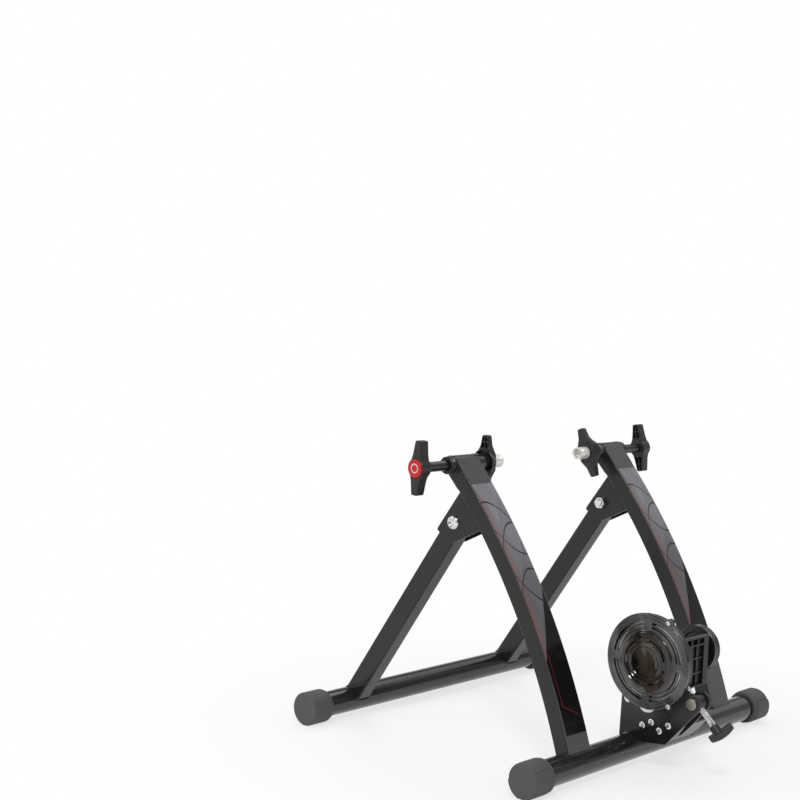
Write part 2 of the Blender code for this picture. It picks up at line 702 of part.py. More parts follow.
for s, n in SIDES:
    axis = clamp_axes[s]
    at = (0, *CLAMP_AXIS)
    mirror = Matrix.Rotation(pi, 4, "Y") if s < 0 else Matrix.Identity(4)
    back = CUP_END_X + CUP_LENGTH
    journal_end = CUP_END_X + CUP_RECESS + 0.004
    cup = turned([
        (CUP_RADIUS - 0.0008, back),
        (CUP_RADIUS, back - 0.0008),
        (CUP_RADIUS, CUP_END_X),
        (CUP_RECESS_RADIUS + 0.0008, CUP_END_X),
        (CUP_RECESS_RADIUS, CUP_END_X + CUP_RECESS),
        (0.0012, CUP_END_X + CUP_RECESS + 0.0008),
        (0.0012, journal_end - GAP),
        (SCREW_JOURNAL_RADIUS + GAP, journal_end - GAP),
        (SCREW_JOURNAL_RADIUS + GAP, back),
    ], steps=24)
    place(f"cup_{n}", moved(cup, mirror), BRIGHT_STEEL, axis, at)

    inner_face = HANDLE_INNER_X
    socket = inner_face + HANDLE_LENGTH - 0.004
    screw = turned([
        (0, socket - GAP),
        (SCREW_RADIUS - 0.001, socket - GAP),
        (SCREW_RADIUS - 0.001, inner_face - GAP),
        (SCREW_RADIUS, inner_face - GAP),
        (SCREW_RADIUS, back + GAP),
        (SCREW_JOURNAL_RADIUS, back + GAP),
        (SCREW_JOURNAL_RADIUS, journal_end),
        (0, journal_end),
    ], closed=False, steps=28)
    place(f"clamp_screw_{n}", moved(screw, mirror), BRIGHT_STEEL, axis, at)

    turn = {-1: LEFT_HANDLE_TURN, 1: RIGHT_HANDLE_TURN}[s]
    wings = winged(HANDLE_HUB - 0.0003, HANDLE_REACH, WING_TIP, HANDLE_LENGTH - 0.003, inner_face + 0.0015)
    hub = cylinder(HANDLE_HUB, inner_face, inner_face + HANDLE_LENGTH)
    handle = cut(joined(wings, hub), cylinder(SCREW_RADIUS - 0.001 + GAP, inner_face - 0.01, socket, sides=28))
    handle = moved(handle, mirror)
    handle = moved(handle, Matrix.Rotation(-turn, 4, "Z"))
    place(f"t_handle_{n}", handle, BLACK_PLASTIC, axis, at)
    cap_at = inner_face + HANDLE_LENGTH + GAP
    disc = turned([
        (0, cap_at + DISC_THICKNESS),
        (DISC_RADIUS - 0.0006, cap_at + DISC_THICKNESS),
        (DISC_RADIUS, cap_at + DISC_THICKNESS * 0.5),
        (DISC_RADIUS, cap_at),
        (0, cap_at),
    ], closed=False)
    place(f"handle_disc_{n}", moved(disc, mirror), RED_DISC, axis, at)

    turn = {-1: LEFT_NUT_TURN, 1: RIGHT_NUT_TURN}[s]
    lock = BARREL_INNER_X - GAP - LOCK_NUT_LENGTH
    wings = winged(LOCK_NUT_HUB - 0.0003, LOCK_NUT_REACH, WING_TIP, LOCK_NUT_LENGTH - 0.003, lock + 0.0010)
    hub = cylinder(LOCK_NUT_HUB, lock, lock + LOCK_NUT_LENGTH)
    nut = cut(joined(wings, hub), cylinder(SCREW_RADIUS + GAP, lock - 0.01, lock + 0.03, sides=28))
    nut = moved(nut, mirror)
    nut = moved(nut, Matrix.Rotation(-turn, 4, "Z"))
    place(f"lock_nut_{n}", nut, BLACK_PLASTIC, axis, at)


# Unit bracket: two cheeks, a short rib beside the adjuster and the web that joins them

def from_tube(back, up):
    """A side-view point measured back and up from the rear tube's axis."""
    return (REAR_TUBE[0] + back, REAR_TUBE[1] + up)


EAR = tuple(TRUNNION)
CHEEK_FRONT = 0.0145
CHEEK_FOOT = 0.0122
CHEEK_REAR = TRUNNION_BACK + 0.0090
CHEEK_TOP = CRADLE_PIVOT_UP + 0.0160


def cheek_outline():
    ear = [p for p in circle(EAR, EAR_RADIUS, 28)]
    below = [from_tube(CHEEK_FRONT + 0.002, CHEEK_FOOT), from_tube(-0.0315, CHEEK_FOOT),
             from_tube(-0.0575, CHEEK_FOOT + 0.0034), from_tube(-CHEEK_REAR, TRUNNION_UP - 0.0095)]
    above = [from_tube(CHEEK_FRONT - 0.003, CHEEK_TOP), from_tube(CHEEK_FRONT, CHEEK_TOP - 0.006)]
    return hull(ear + below + above)


def far_cheek_outline():
    """The far cheek carries only the cradle bolt, so it stops short of the adjuster."""
    return filleted([
        (*from_tube(CHEEK_FRONT + 0.002, CHEEK_FOOT), 0),
        (*from_tube(CHEEK_FRONT, CHEEK_TOP - 0.004), 0.004),
        (*from_tube(-CRADLE_PIVOT_BACK + 0.020, CRADLE_PIVOT_UP + 0.0115), 0.004),
        (*from_tube(-CRADLE_PIVOT_BACK - 0.012, CRADLE_PIVOT_UP + 0.0115), 0.004),
        (*from_tube(-0.0700, 0.0520), 0.004),
        (*from_tube(-0.0775, 0.0426), 0),
        (*from_tube(-0.0575, CHEEK_FOOT + 0.0034), 0),
        (*from_tube(-0.0315, CHEEK_FOOT), 0),
    ])


def unit_bracket():
    web_under = TUBE_RADIUS + GAP
    bolt_hole = circle(CRADLE_PIVOT, CRADLE_BOLT_RADIUS + GAP)
    pin_hole = circle(TRUNNION, TRUNNION_JOURNAL + GAP)
    screw_holes = [circle(from_tube(*p), SCREW_SHANK_RADIUS + GAP, 12) for p in (*CHEEK_SCREWS, STOP_BOLT_AT)]
    near = plate(cheek_outline(), PLATE, NEAR_CHEEK_X, [bolt_hole, pin_hole, *screw_holes])
    far = plate(far_cheek_outline(), PLATE, FAR_CHEEK_X - PLATE, [bolt_hole])
    rib_feet = [from_tube(-0.0640, 0.0235), from_tube(-0.0790, 0.0390)]
    rib = plate(hull(circle(EAR, EAR_RADIUS, 28) + rib_feet), PLATE, RIB_X, [pin_hole])
    start = NEAR_CHEEK_X + PLATE / 2
    width = FAR_CHEEK_X - PLATE / 2 - start
    web = plate([from_tube(CHEEK_FRONT - 0.001, web_under), from_tube(CHEEK_FRONT - 0.001, web_under + PLATE),
                 from_tube(-0.0580, web_under + PLATE), from_tube(-0.0760, 0.0440),
                 from_tube(-0.0780, 0.0424), from_tube(-0.0590, web_under)], width, start)
    body = joined(near, web, far, rib)
    return cut(body, cylinder(TUBE_RADIUS + GAP, -0.2, 0.2, REAR_TUBE))


place("unit_bracket", unit_bracket(), BLACK_PAINT, stand, (0, 0, 0))


# Bracket fasteners

def pan_head(head, height, shank, length, sides=16):
    """A pan-head screw whose head rises along local -z from z = 0, shank along +z."""
    return turned([
        (0, length),
        (shank, length),
        (shank, 0),
        (head, 0),
        (head, -height * 0.5),
        (head * 0.72, -height),
        (0, -height),
    ], closed=False, steps=sides)


for number, spot in enumerate(CHEEK_SCREWS, 1):
    screw = pan_head(SCREW_HEAD_RADIUS, SCREW_HEAD_HEIGHT, SCREW_SHANK_RADIUS, SCREW_SHANK_LENGTH)
    socket = cylinder(SCREW_HEAD_RADIUS * 0.45, -0.01, -SCREW_HEAD_HEIGHT * 0.45, sides=6)
    place(f"bracket_screw_{number}", cut(screw, socket), BRIGHT_STEEL, stand,
          (NEAR_CHEEK_X - GAP, *from_tube(*spot)))

stop_screw = pan_head(STOP_BOLT_HEAD_RADIUS, CRADLE_HEAD_HEIGHT, SCREW_SHANK_RADIUS, SCREW_SHANK_LENGTH)
place("stop_screw", stop_screw, BRIGHT_STEEL, stand, (NEAR_CHEEK_X - GAP, *from_tube(*STOP_BOLT_AT)))

BOLT_END = FAR_CHEEK_X + GAP + 0.0085
cradle_bolt = turned([
    (0, BOLT_END),
    (CRADLE_BOLT_RADIUS, BOLT_END),
    (CRADLE_BOLT_RADIUS, NEAR_CHEEK_X - GAP),
    (CRADLE_HEAD_RADIUS, NEAR_CHEEK_X - GAP),
    (CRADLE_HEAD_RADIUS, NEAR_CHEEK_X - GAP - CRADLE_HEAD_HEIGHT * 0.4),
    (CRADLE_HEAD_RADIUS * 0.6, NEAR_CHEEK_X - GAP - CRADLE_HEAD_HEIGHT * 0.9),
    (0, NEAR_CHEEK_X - GAP - CRADLE_HEAD_HEIGHT),
], closed=False, steps=28)
place("cradle_bolt", cradle_bolt, BRIGHT_STEEL, stand, (0, *CRADLE_PIVOT))
place("cradle_nut", hexagon_nut(0.0095, CRADLE_BOLT_RADIUS + GAP, FAR_CHEEK_X + GAP, FAR_CHEEK_X + GAP + 0.0065),
      BRIGHT_STEEL, stand, (0, *CRADLE_PIVOT))


# Trunnion: cross pin between near cheek and rib, tapped for the adjuster

def trunnion():
    near = NEAR_CHEEK_X + PLATE + GAP
    far = RIB_X - GAP
    head = NEAR_CHEEK_X - GAP
    pin = turned([
        (0, RIB_X + PLATE + 0.003),
        (TRUNNION_JOURNAL, RIB_X + PLATE + 0.003),
        (TRUNNION_JOURNAL, far),
        (TRUNNION_RADIUS, far),
        (TRUNNION_RADIUS, near),
        (TRUNNION_JOURNAL, near),
        (TRUNNION_JOURNAL, head),
        (TRUNNION_HEAD_RADIUS, head),
        (TRUNNION_HEAD_RADIUS, head - TRUNNION_HEAD_HEIGHT * 0.6),
        (TRUNNION_HEAD_RADIUS * 0.85, head - TRUNNION_HEAD_HEIGHT),
        (0, head - TRUNNION_HEAD_HEIGHT),
    ], closed=False, steps=28)
    tapping = cylinder(ADJUSTER_RADIUS + GAP, -0.03, 0.03, sides=SMALL_SIDES)
    tapping = moved(tapping, Matrix.Translation((0, 0, ADJUSTER_X)) @ ADJUSTER_IN_SIDE_VIEW)
    return cut(pin, tapping)


place("trunnion", trunnion(), BRASS, stand, (0, *TRUNNION))


# Cradle: one casting with a ribbed back, two bearing arms and a pivot hub

WALL_FRONT = UNIT_AXIS[0] - WALL_BEHIND_AXIS
WALL_REAR = WALL_FRONT - WALL_DEPTH
WALL_TOP = UNIT_AXIS[1] + WALL_ABOVE_AXIS
WALL_BOTTOM = UNIT_AXIS[1] - WALL_BELOW_AXIS


def cradle():
    left, right = LEFT_ARM_X, RIGHT_ARM_X + ARM_WIDTH
    wall = box((WALL_REAR, WALL_BOTTOM, left + 0.004), (WALL_FRONT, WALL_TOP, right - 0.001))
    high = (WALL_TOP - WALL_BOTTOM - RIB) / RIB_ROWS
    broad = (RIGHT_ARM_X - left - ARM_WIDTH - RIB) / RIB_COLUMNS
    pockets = []
    for row in range(RIB_ROWS):
        for column in range(RIB_COLUMNS):
            low = (WALL_REAR - 0.01, WALL_BOTTOM + RIB + row * high, left + ARM_WIDTH + RIB + column * broad)
            pocket = (WALL_FRONT - WALL_SKIN, low[1] + high - RIB, low[2] + broad - RIB)
            pockets.append(box(low, pocket))
    block = [(WALL_REAR + 0.0006, WALL_BOTTOM + 0.0006), (WALL_REAR + 0.0006, WALL_TOP - 0.0006)]
    arm_end = circle(UNIT_AXIS, ARM_END_RADIUS, ROUND_SIDES)
    hub_ring = circle(CRADLE_PIVOT, CRADLE_HUB_RADIUS, 28)
    left_arm = plate(hull(arm_end + block + hub_ring), ARM_WIDTH, left)
    right_arm = plate(hull(arm_end + block), ARM_WIDTH, RIGHT_ARM_X)
    hub_end = FAR_CHEEK_X - PLATE - GAP
    foot_top = Vector((WALL_FRONT - 0.0006, WALL_BOTTOM + 0.004))
    foot_back = Vector((WALL_REAR + 0.0012, WALL_BOTTOM + 0.0012))
    panel = hull([side(foot_top), side(foot_back), side(CRADLE_PIVOT + Vector((0.002, 0.006))),
                  side(CRADLE_PIVOT + Vector((-0.006, -0.002)))])
    foot = plate(panel, hub_end - left - 0.003, left + 0.002)
    hub = cylinder(CRADLE_HUB_RADIUS - 0.0005, left + 0.001, hub_end, CRADLE_PIVOT, 28)
    pad_centre = TRUNNION + ADJUSTER_UP * THRUST_FACE
    pad = cylinder(PAD_RADIUS, 0, PAD_LENGTH, sides=18)
    pad = moved(pad, Matrix.Translation((*pad_centre, ADJUSTER_X)) @ ADJUSTER_IN_SIDE_VIEW)
    body = joined(cut(wall, together(*pockets)), left_arm, right_arm, foot, hub, pad)
    seat = BEARING_RADIUS + GAP
    return cut(body,
               cylinder(seat, left - 0.01, left + ARM_WIDTH + 0.01, UNIT_AXIS),
               cylinder(seat, RIGHT_ARM_X - 0.01, right + 0.01, UNIT_AXIS),
               cylinder(CRADLE_BOLT_RADIUS + GAP, left - 0.01, hub_end + 0.01, CRADLE_PIVOT, SMALL_SIDES))


place("cradle", moved(cradle(), Matrix.Translation((*(-CRADLE_PIVOT), 0))), CAST_METAL, tilt_axis, (0, *CRADLE_PIVOT))

for n, start in (("left", LEFT_ARM_X), ("right", RIGHT_ARM_X)):
    inset = (ARM_WIDTH - BEARING_WIDTH) / 2
    place(f"bearing_{n}", ring(SHAFT_RADIUS + GAP, BEARING_RADIUS, start + inset, start + inset + BEARING_WIDTH, 28),
          BRIGHT_STEEL, tilt_axis, (0, *UNIT_AXIS))


# Brake housing: open drum on the left arm, with two screw lugs outside its rim

HOUSING_FRONT_X = HOUSING_BACK_X - HOUSING_DEPTH
COVER_LIP_X = HOUSING_FRONT_X - GAP - COVER_WALL
SKIRT_END_X = COVER_LIP_X + COVER_SKIRT
LUG_FACE_X = COVER_LIP_X + LUG_SETBACK
COVER_RADIUS = HOUSING_RADIUS + GAP + COVER_SIDE
LUG_SPOTS = [(COVER_RADIUS * cos(a), COVER_RADIUS * sin(a)) for a in LUG_ANGLES]


def lug(spot, inner, start, end):
    """A round lug on the rim, cleared inside the given radius."""
    neck = (0.93 * spot[0], 0.93 * spot[1])
    solid = plate(hull(circle(spot, LUG_RADIUS, 14) + circle(neck, LUG_RADIUS, 14)), end - start, start)
    return cut(solid, cylinder(inner, start - 0.01, end + 0.01, sides=DRUM_SIDES))


def screw_holes(start, end, radius):
    """Cutters on the axes of the two cover screws."""
    return together(*[cylinder(radius, start, end, spot, 12) for spot in LUG_SPOTS])


def housing():
    back = HOUSING_BACK_X
    floor = back - HOUSING_WALL
    boss = LEFT_ARM_X - GAP
    drum = turned([
        (HOUSING_BOSS_RADIUS, boss),
        (HOUSING_BOSS_RADIUS, back),
        (HOUSING_RADIUS - 0.003, back),
        (HOUSING_RADIUS, back - 0.003),
        (HOUSING_RADIUS, HOUSING_FRONT_X),
        (HOUSING_RADIUS - HOUSING_WALL, HOUSING_FRONT_X),
        (HOUSING_RADIUS - HOUSING_WALL, floor),
        (HOUSING_BORE, floor),
        (HOUSING_BORE, boss),
    ], steps=DRUM_SIDES)
    start = SKIRT_END_X + GAP
    lugs = [lug(spot, HOUSING_RADIUS - HOUSING_WALL / 2, start, start + LUG_THICKNESS) for spot in LUG_SPOTS]
    return cut(joined(drum, *lugs), screw_holes(start - 0.01, start + 0.01, LUG_SCREW_RADIUS + GAP))


place("housing", housing(), BLACK_PLASTIC, tilt_axis, (0, *UNIT_AXIS))


# Brake cover: domed front with rings of arc-shaped slots and a lug over each housing lug

def arc_slot(radius, width, start, end, low, high):
    count = max(3, ceil((end - start) / radians(18)))
    outline = arc((0, 0), radius + width / 2, start, end, count)
    outline += arc((0, 0), radius - width / 2, end, start, count)
    return plate(outline, high - low, low)


def cover():
    lip, rise, wall = COVER_LIP_X, COVER_DOME_RISE, COVER_WALL
    outside = [(0, lip - rise), (COVER_DOME_RADIUS * 0.58, lip - rise), (COVER_DOME_RADIUS, lip - rise * 0.6),
               (COVER_DOME_RADIUS + 0.003, lip - rise * 0.2), (COVER_RADIUS - 0.008, lip),
               (COVER_RADIUS - 0.0018, lip), (COVER_RADIUS, lip + 0.0018), (COVER_RADIUS, SKIRT_END_X)]
    inside = [(HOUSING_RADIUS + GAP, SKIRT_END_X), (HOUSING_RADIUS + GAP, lip + wall),
              (COVER_RADIUS - 0.008, lip + wall), (COVER_DOME_RADIUS + 0.0022, lip + wall - rise * 0.2),
              (COVER_DOME_RADIUS - 0.0008, lip + wall - rise * 0.6), (COVER_DOME_RADIUS * 0.58, lip + wall - rise),
              (0, lip + wall - rise)]
    shell = turned(outside + inside, closed=False, steps=DRUM_SIDES)
    lugs = [lug(spot, HOUSING_RADIUS + GAP + 0.0006, LUG_FACE_X, SKIRT_END_X - 0.0001) for spot in LUG_SPOTS]
    holes = screw_holes(lip - 0.01, SKIRT_END_X + 0.01, LUG_SCREW_RADIUS + GAP)
    seats = screw_holes(lip - 0.01, LUG_FACE_X, LUG_SCREW_HEAD_RADIUS + GAP)
    slots = []
    for radius, width in SLOT_RINGS:
        for quarter in range(4):
            middle = radians(45 + 90 * quarter)
            half = radians(45) - SLOT_SPOKE / 2 / radius
            slots.append(arc_slot(radius, width, middle - half, middle + half, lip - rise - 0.01, lip + wall + 0.003))
    return cut(joined(shell, *lugs), together(*slots), holes, seats)


place("cover", cover(), GLOSS_PLASTIC, tilt_axis, (0, *UNIT_AXIS))

for n, spot in zip(("upper", "lower"), LUG_SPOTS):
    shank = SKIRT_END_X + GAP + LUG_THICKNESS - (LUG_FACE_X - GAP)
    screw = pan_head(LUG_SCREW_HEAD_RADIUS, 0.0022, LUG_SCREW_RADIUS, shank)
    place(f"cover_screw_{n}", screw, BRIGHT_STEEL, tilt_axis,
          (LUG_FACE_X - GAP, UNIT_AXIS[0] + spot[0], UNIT_AXIS[1] + spot[1]))


# Eddy-current brake: magnets on the housing floor, aluminium disc on the shaft

MAGNET_PLATE_X = HOUSING_BACK_X - HOUSING_WALL - GAP - MAGNET_PLATE
MAGNET_FACE_X = MAGNET_PLATE_X - MAGNET_HEIGHT
ROTOR_BACK_X = MAGNET_FACE_X - ROTOR_GAP


def magnet_plate():
    base = ring(MAGNET_RING - 0.013, MAGNET_RING + 0.013, MAGNET_PLATE_X, MAGNET_PLATE_X + MAGNET_PLATE, 32)
    magnets = []
    for number in range(MAGNET_COUNT):
        angle = 2 * pi * number / MAGNET_COUNT
        spot = (MAGNET_RING * cos(angle), MAGNET_RING * sin(angle))
        magnets.append(cylinder(MAGNET_RADIUS, MAGNET_FACE_X, MAGNET_PLATE_X + MAGNET_PLATE / 2, spot, 10))
    return joined(base, together(*magnets))


place("magnet_plate", magnet_plate(), MAGNET, tilt_axis, (0, *UNIT_AXIS))


# Rotor: roller, shaft, brake disc and flywheel turn as one on the two bearings

def on_shaft(name, mesh, paint):
    place(name, mesh, paint, roller_axis, (0, *UNIT_AXIS))


SHAFT_BORE = SHAFT_RADIUS + GAP
LEFT_BEARING_FACE = LEFT_ARM_X + (ARM_WIDTH - BEARING_WIDTH) / 2
RIGHT_ARM_FACE = RIGHT_ARM_X + ARM_WIDTH
FLYWHEEL_OUTER_X = FLYWHEEL_INNER_X + FLYWHEEL_WIDTH
SHAFT_LEFT = ROTOR_BACK_X - ROTOR_THICKNESS - 0.0025
SHAFT_RIGHT = FLYWHEEL_OUTER_X + SHAFT_NUT_HEIGHT + 0.002

on_shaft("roller_shaft", cylinder(SHAFT_RADIUS, SHAFT_LEFT, SHAFT_RIGHT, sides=28), BRIGHT_STEEL)

low, high = ROLLER_CENTRE_X - ROLLER_LENGTH / 2, ROLLER_CENTRE_X + ROLLER_LENGTH / 2
on_shaft("roller", turned([
    (ROLLER_RADIUS - 0.001, high),
    (ROLLER_RADIUS, high - 0.001),
    (ROLLER_RADIUS, low + 0.001),
    (ROLLER_RADIUS - 0.001, low),
    (SHAFT_BORE, low),
    (SHAFT_BORE, high),
]), ALUMINIUM)

on_shaft("brake_disc", turned([
    (ROTOR_HUB_RADIUS, LEFT_BEARING_FACE - GAP),
    (ROTOR_HUB_RADIUS, ROTOR_BACK_X),
    (ROTOR_RADIUS, ROTOR_BACK_X),
    (ROTOR_RADIUS, ROTOR_BACK_X - ROTOR_THICKNESS),
    (SHAFT_BORE, ROTOR_BACK_X - ROTOR_THICKNESS),
    (SHAFT_BORE, LEFT_BEARING_FACE - GAP),
], steps=32), ALUMINIUM)

rim = FLYWHEEL_RADIUS
on_shaft("flywheel", turned([
    (rim - 0.0008, FLYWHEEL_OUTER_X),
    (rim, FLYWHEEL_OUTER_X - 0.0008),
    (rim, FLYWHEEL_OUTER_X - 0.0036),
    (rim - 0.0014, FLYWHEEL_OUTER_X - 0.0042),
    (rim - 0.0014, FLYWHEEL_OUTER_X - 0.0056),
    (rim, FLYWHEEL_OUTER_X - 0.0062),
    (rim, FLYWHEEL_INNER_X + 0.0010),
    (rim - 0.001, FLYWHEEL_INNER_X),
    (rim * 0.74, FLYWHEEL_INNER_X),
    (rim * 0.70, FLYWHEEL_INNER_X + 0.0030),
    (ROTOR_HUB_RADIUS + 0.001, FLYWHEEL_INNER_X + 0.0030),
    (ROTOR_HUB_RADIUS, RIGHT_ARM_FACE + GAP),
    (SHAFT_BORE, RIGHT_ARM_FACE + GAP),
    (SHAFT_BORE, FLYWHEEL_OUTER_X - 0.0020),
    (rim * 0.78, FLYWHEEL_OUTER_X - 0.0020),
    (rim * 0.80, FLYWHEEL_OUTER_X),
], steps=32), CAST_METAL)

nut_low = FLYWHEEL_OUTER_X - 0.0020 + GAP
on_shaft("flywheel_nut", hexagon_nut(SHAFT_NUT_RADIUS, SHAFT_BORE, nut_low, nut_low + SHAFT_NUT_HEIGHT), BRIGHT_STEEL)


# Tension adjuster: threaded rod through the trunnion, swivel tip above, winged knob below

TIP_FACE = THRUST_FACE - GAP
TIP_BASE = TIP_FACE - THRUST_TIP_LENGTH
TIP_SOCKET = TIP_BASE + THRUST_TIP_LENGTH * 0.6
KNOB_TOP = -KNOB_FROM_TRUNNION
GRIP_TOP = KNOB_TOP - KNOB_BOSS_LENGTH
GRIP_BOTTOM = GRIP_TOP - KNOB_GRIP_HEIGHT
KNOB_SOCKET = GRIP_BOTTOM + 0.003
ROD_BORE = ADJUSTER_RADIUS + GAP


def on_adjuster(name, mesh, paint):
    place(name, mesh, paint, adjuster_axis, (ADJUSTER_X, *TRUNNION), ADJUSTER_TURN)


on_adjuster("thrust_tip", turned([
    (0, TIP_FACE),
    (THRUST_TIP_RADIUS * 0.45, TIP_FACE - 0.0004),
    (THRUST_TIP_RADIUS * 0.80, TIP_FACE - 0.0012),
    (THRUST_TIP_RADIUS, TIP_FACE - 0.0022),
    (THRUST_TIP_RADIUS, TIP_BASE),
    (ROD_BORE, TIP_BASE),
    (ROD_BORE, TIP_SOCKET),
    (0, TIP_SOCKET),
], closed=False, steps=24), BRIGHT_STEEL)

on_adjuster("adjuster_rod", cylinder(ADJUSTER_RADIUS, KNOB_SOCKET + GAP, TIP_SOCKET - GAP, sides=24), BRIGHT_STEEL)


def knob():
    half = KNOB_GRIP_LENGTH / 2
    end = KNOB_GRIP_HEIGHT * 0.70
    belly = [(half * (1 - 2 * i / 10), GRIP_TOP - end - (KNOB_GRIP_HEIGHT - end) * (1 - (1 - 2 * i / 10) ** 2))
             for i in range(11)]
    outline = [(-half, GRIP_TOP - 0.001), (-half + 0.001, GRIP_TOP), (half - 0.001, GRIP_TOP), (half, GRIP_TOP - 0.001)]
    grip = plate(outline + belly, KNOB_GRIP_WIDTH, -KNOB_GRIP_WIDTH / 2)
    grip = moved(bevelled(grip, 0.0012), Matrix.Translation((KNOB_GRIP_OFFSET, 0, 0)) @ Matrix.Rotation(pi / 2, 4, "X"))
    boss = cylinder(KNOB_BOSS_RADIUS, GRIP_TOP - 0.004, KNOB_TOP, sides=24)
    solid = cut(joined(grip, boss), cylinder(ROD_BORE, KNOB_SOCKET, KNOB_TOP + 0.01, sides=24))
    return moved(solid, Matrix.Rotation(KNOB_TURN, 4, "Z"))


on_adjuster("adjuster_knob", knob(), BLACK_PLASTIC)


# Centre the trainer over the origin, on its bounding box

bpy.context.view_layer.update()
corners = [obj.matrix_world @ vertex.co for obj in trainer.objects for vertex in obj.data.vertices]
lows = Vector(min(c[i] for c in corners) for i in range(3))
highs = Vector(max(c[i] for c in corners) for i in range(3))
stand.location = (-(lows.x + highs.x) / 2, -(lows.y + highs.y) / 2, -lows.z)
bpy.context.view_layer.update()

print("size", [round(v, 5) for v in highs - lows], "moved by", [round(v, 6) for v in stand.location])
for empty in workshop.objects:
    print(empty.name, [round(v, 6) for v in empty.matrix_world.translation])
print("objects", len(trainer.objects), "triangles", sum(len(o.data.loop_triangles) for o in trainer.objects))
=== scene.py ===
"""Folding bicycle trainer with a magnetic resistance unit, finished piece by piece on the fixed frame."""
from math import acos, atan2, cos, pi, radians, sin, sqrt, tan

import bmesh
import bpy
from mathutils import Matrix, Vector


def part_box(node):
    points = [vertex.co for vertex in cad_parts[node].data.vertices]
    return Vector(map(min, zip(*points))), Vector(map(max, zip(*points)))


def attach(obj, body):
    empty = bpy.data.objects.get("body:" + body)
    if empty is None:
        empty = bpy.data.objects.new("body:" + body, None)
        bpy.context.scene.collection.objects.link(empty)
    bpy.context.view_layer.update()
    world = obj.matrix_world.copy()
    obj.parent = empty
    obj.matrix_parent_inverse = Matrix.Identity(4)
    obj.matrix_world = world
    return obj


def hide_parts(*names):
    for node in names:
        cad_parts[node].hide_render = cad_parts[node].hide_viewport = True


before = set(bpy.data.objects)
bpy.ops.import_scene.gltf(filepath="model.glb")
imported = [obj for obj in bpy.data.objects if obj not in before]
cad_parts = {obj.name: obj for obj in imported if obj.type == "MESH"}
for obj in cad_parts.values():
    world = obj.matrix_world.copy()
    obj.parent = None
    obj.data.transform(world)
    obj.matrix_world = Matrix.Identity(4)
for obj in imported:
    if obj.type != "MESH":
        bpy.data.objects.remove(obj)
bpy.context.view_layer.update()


# Floor tubes. Two round welded steel tubes, cut square; the rubber feet close their ends. With
# the legs welded on, each frame is powder coated in gloss black and baked, which leaves a faint
# orange peel in the gloss.

class Wire:
    """A socket of a shader or geometry tree that can stand in arithmetic."""

    def __init__(self, tree, socket=None):
        self.tree = tree
        self.socket = socket

    def node(self, kind, settings=None, sockets=None, out=0):
        """Adds any node: its settings first, then its sockets' values or links."""
        made = self.tree.nodes.new(kind)
        for name, value in (settings or {}).items():
            setattr(made, name, value)
        for name, given in (sockets or {}).items():
            for value in given if isinstance(given, list) else [given]:
                if isinstance(value, Wire):
                    self.tree.links.new(value.socket, made.inputs[name])
                else:
                    made.inputs[name].default_value = value
        return Wire(self.tree, made.outputs[out] if len(made.outputs) else None)

    def other(self, name):
        """Another output of the same node."""
        return Wire(self.tree, self.socket.node.outputs[name])

    def maths(self, operation, *values):
        return self.node("ShaderNodeMath", {"operation": operation}, dict(enumerate(values)))

    def __add__(self, other):
        return self.maths("ADD", self, other)

    def __radd__(self, other):
        return self.maths("ADD", other, self)

    def __sub__(self, other):
        return self.maths("SUBTRACT", self, other)

    def __rsub__(self, other):
        return self.maths("SUBTRACT", other, self)

    def __mul__(self, other):
        return self.maths("MULTIPLY", self, other)

    def __rmul__(self, other):
        return self.maths("MULTIPLY", other, self)

    def __truediv__(self, other):
        return self.maths("DIVIDE", self, other)

    def __rtruediv__(self, other):
        return self.maths("DIVIDE", other, self)

    def __abs__(self):
        return self.maths("ABSOLUTE", self)

    def step(self, low, high):
        """0 below low and 1 above high, eased between; high below low turns it round."""
        if high < low:
            return 1 - self.step(high, low)
        return self.node("ShaderNodeMapRange", {"interpolation_type": "SMOOTHSTEP"}, {0: self, 1: low, 2: high})

    def mix(self, low, high):
        """A colour between two, at this share of the second; a number alone is a grey."""
        low, high = (end if isinstance(end, Wire) else (*end, 1) if isinstance(end, tuple) else (end, end, end, 1)
                     for end in (low, high))
        return self.node("ShaderNodeMix", {"data_type": "RGBA"}, {0: self, 6: low, 7: high}, out=2)

    def parts(self):
        """The three numbers of a vector."""
        split = self.node("ShaderNodeSeparateXYZ", None, {0: self})
        return split, split.other("Y"), split.other("Z")

    def most(self, *others):
        """The largest of several numbers."""
        for other in others:
            self = self.maths("MAXIMUM", self, other)
        return self

    def across(self, other):
        """The root of the sum of two squares."""
        return self.maths("SQRT", self * self + other * other)


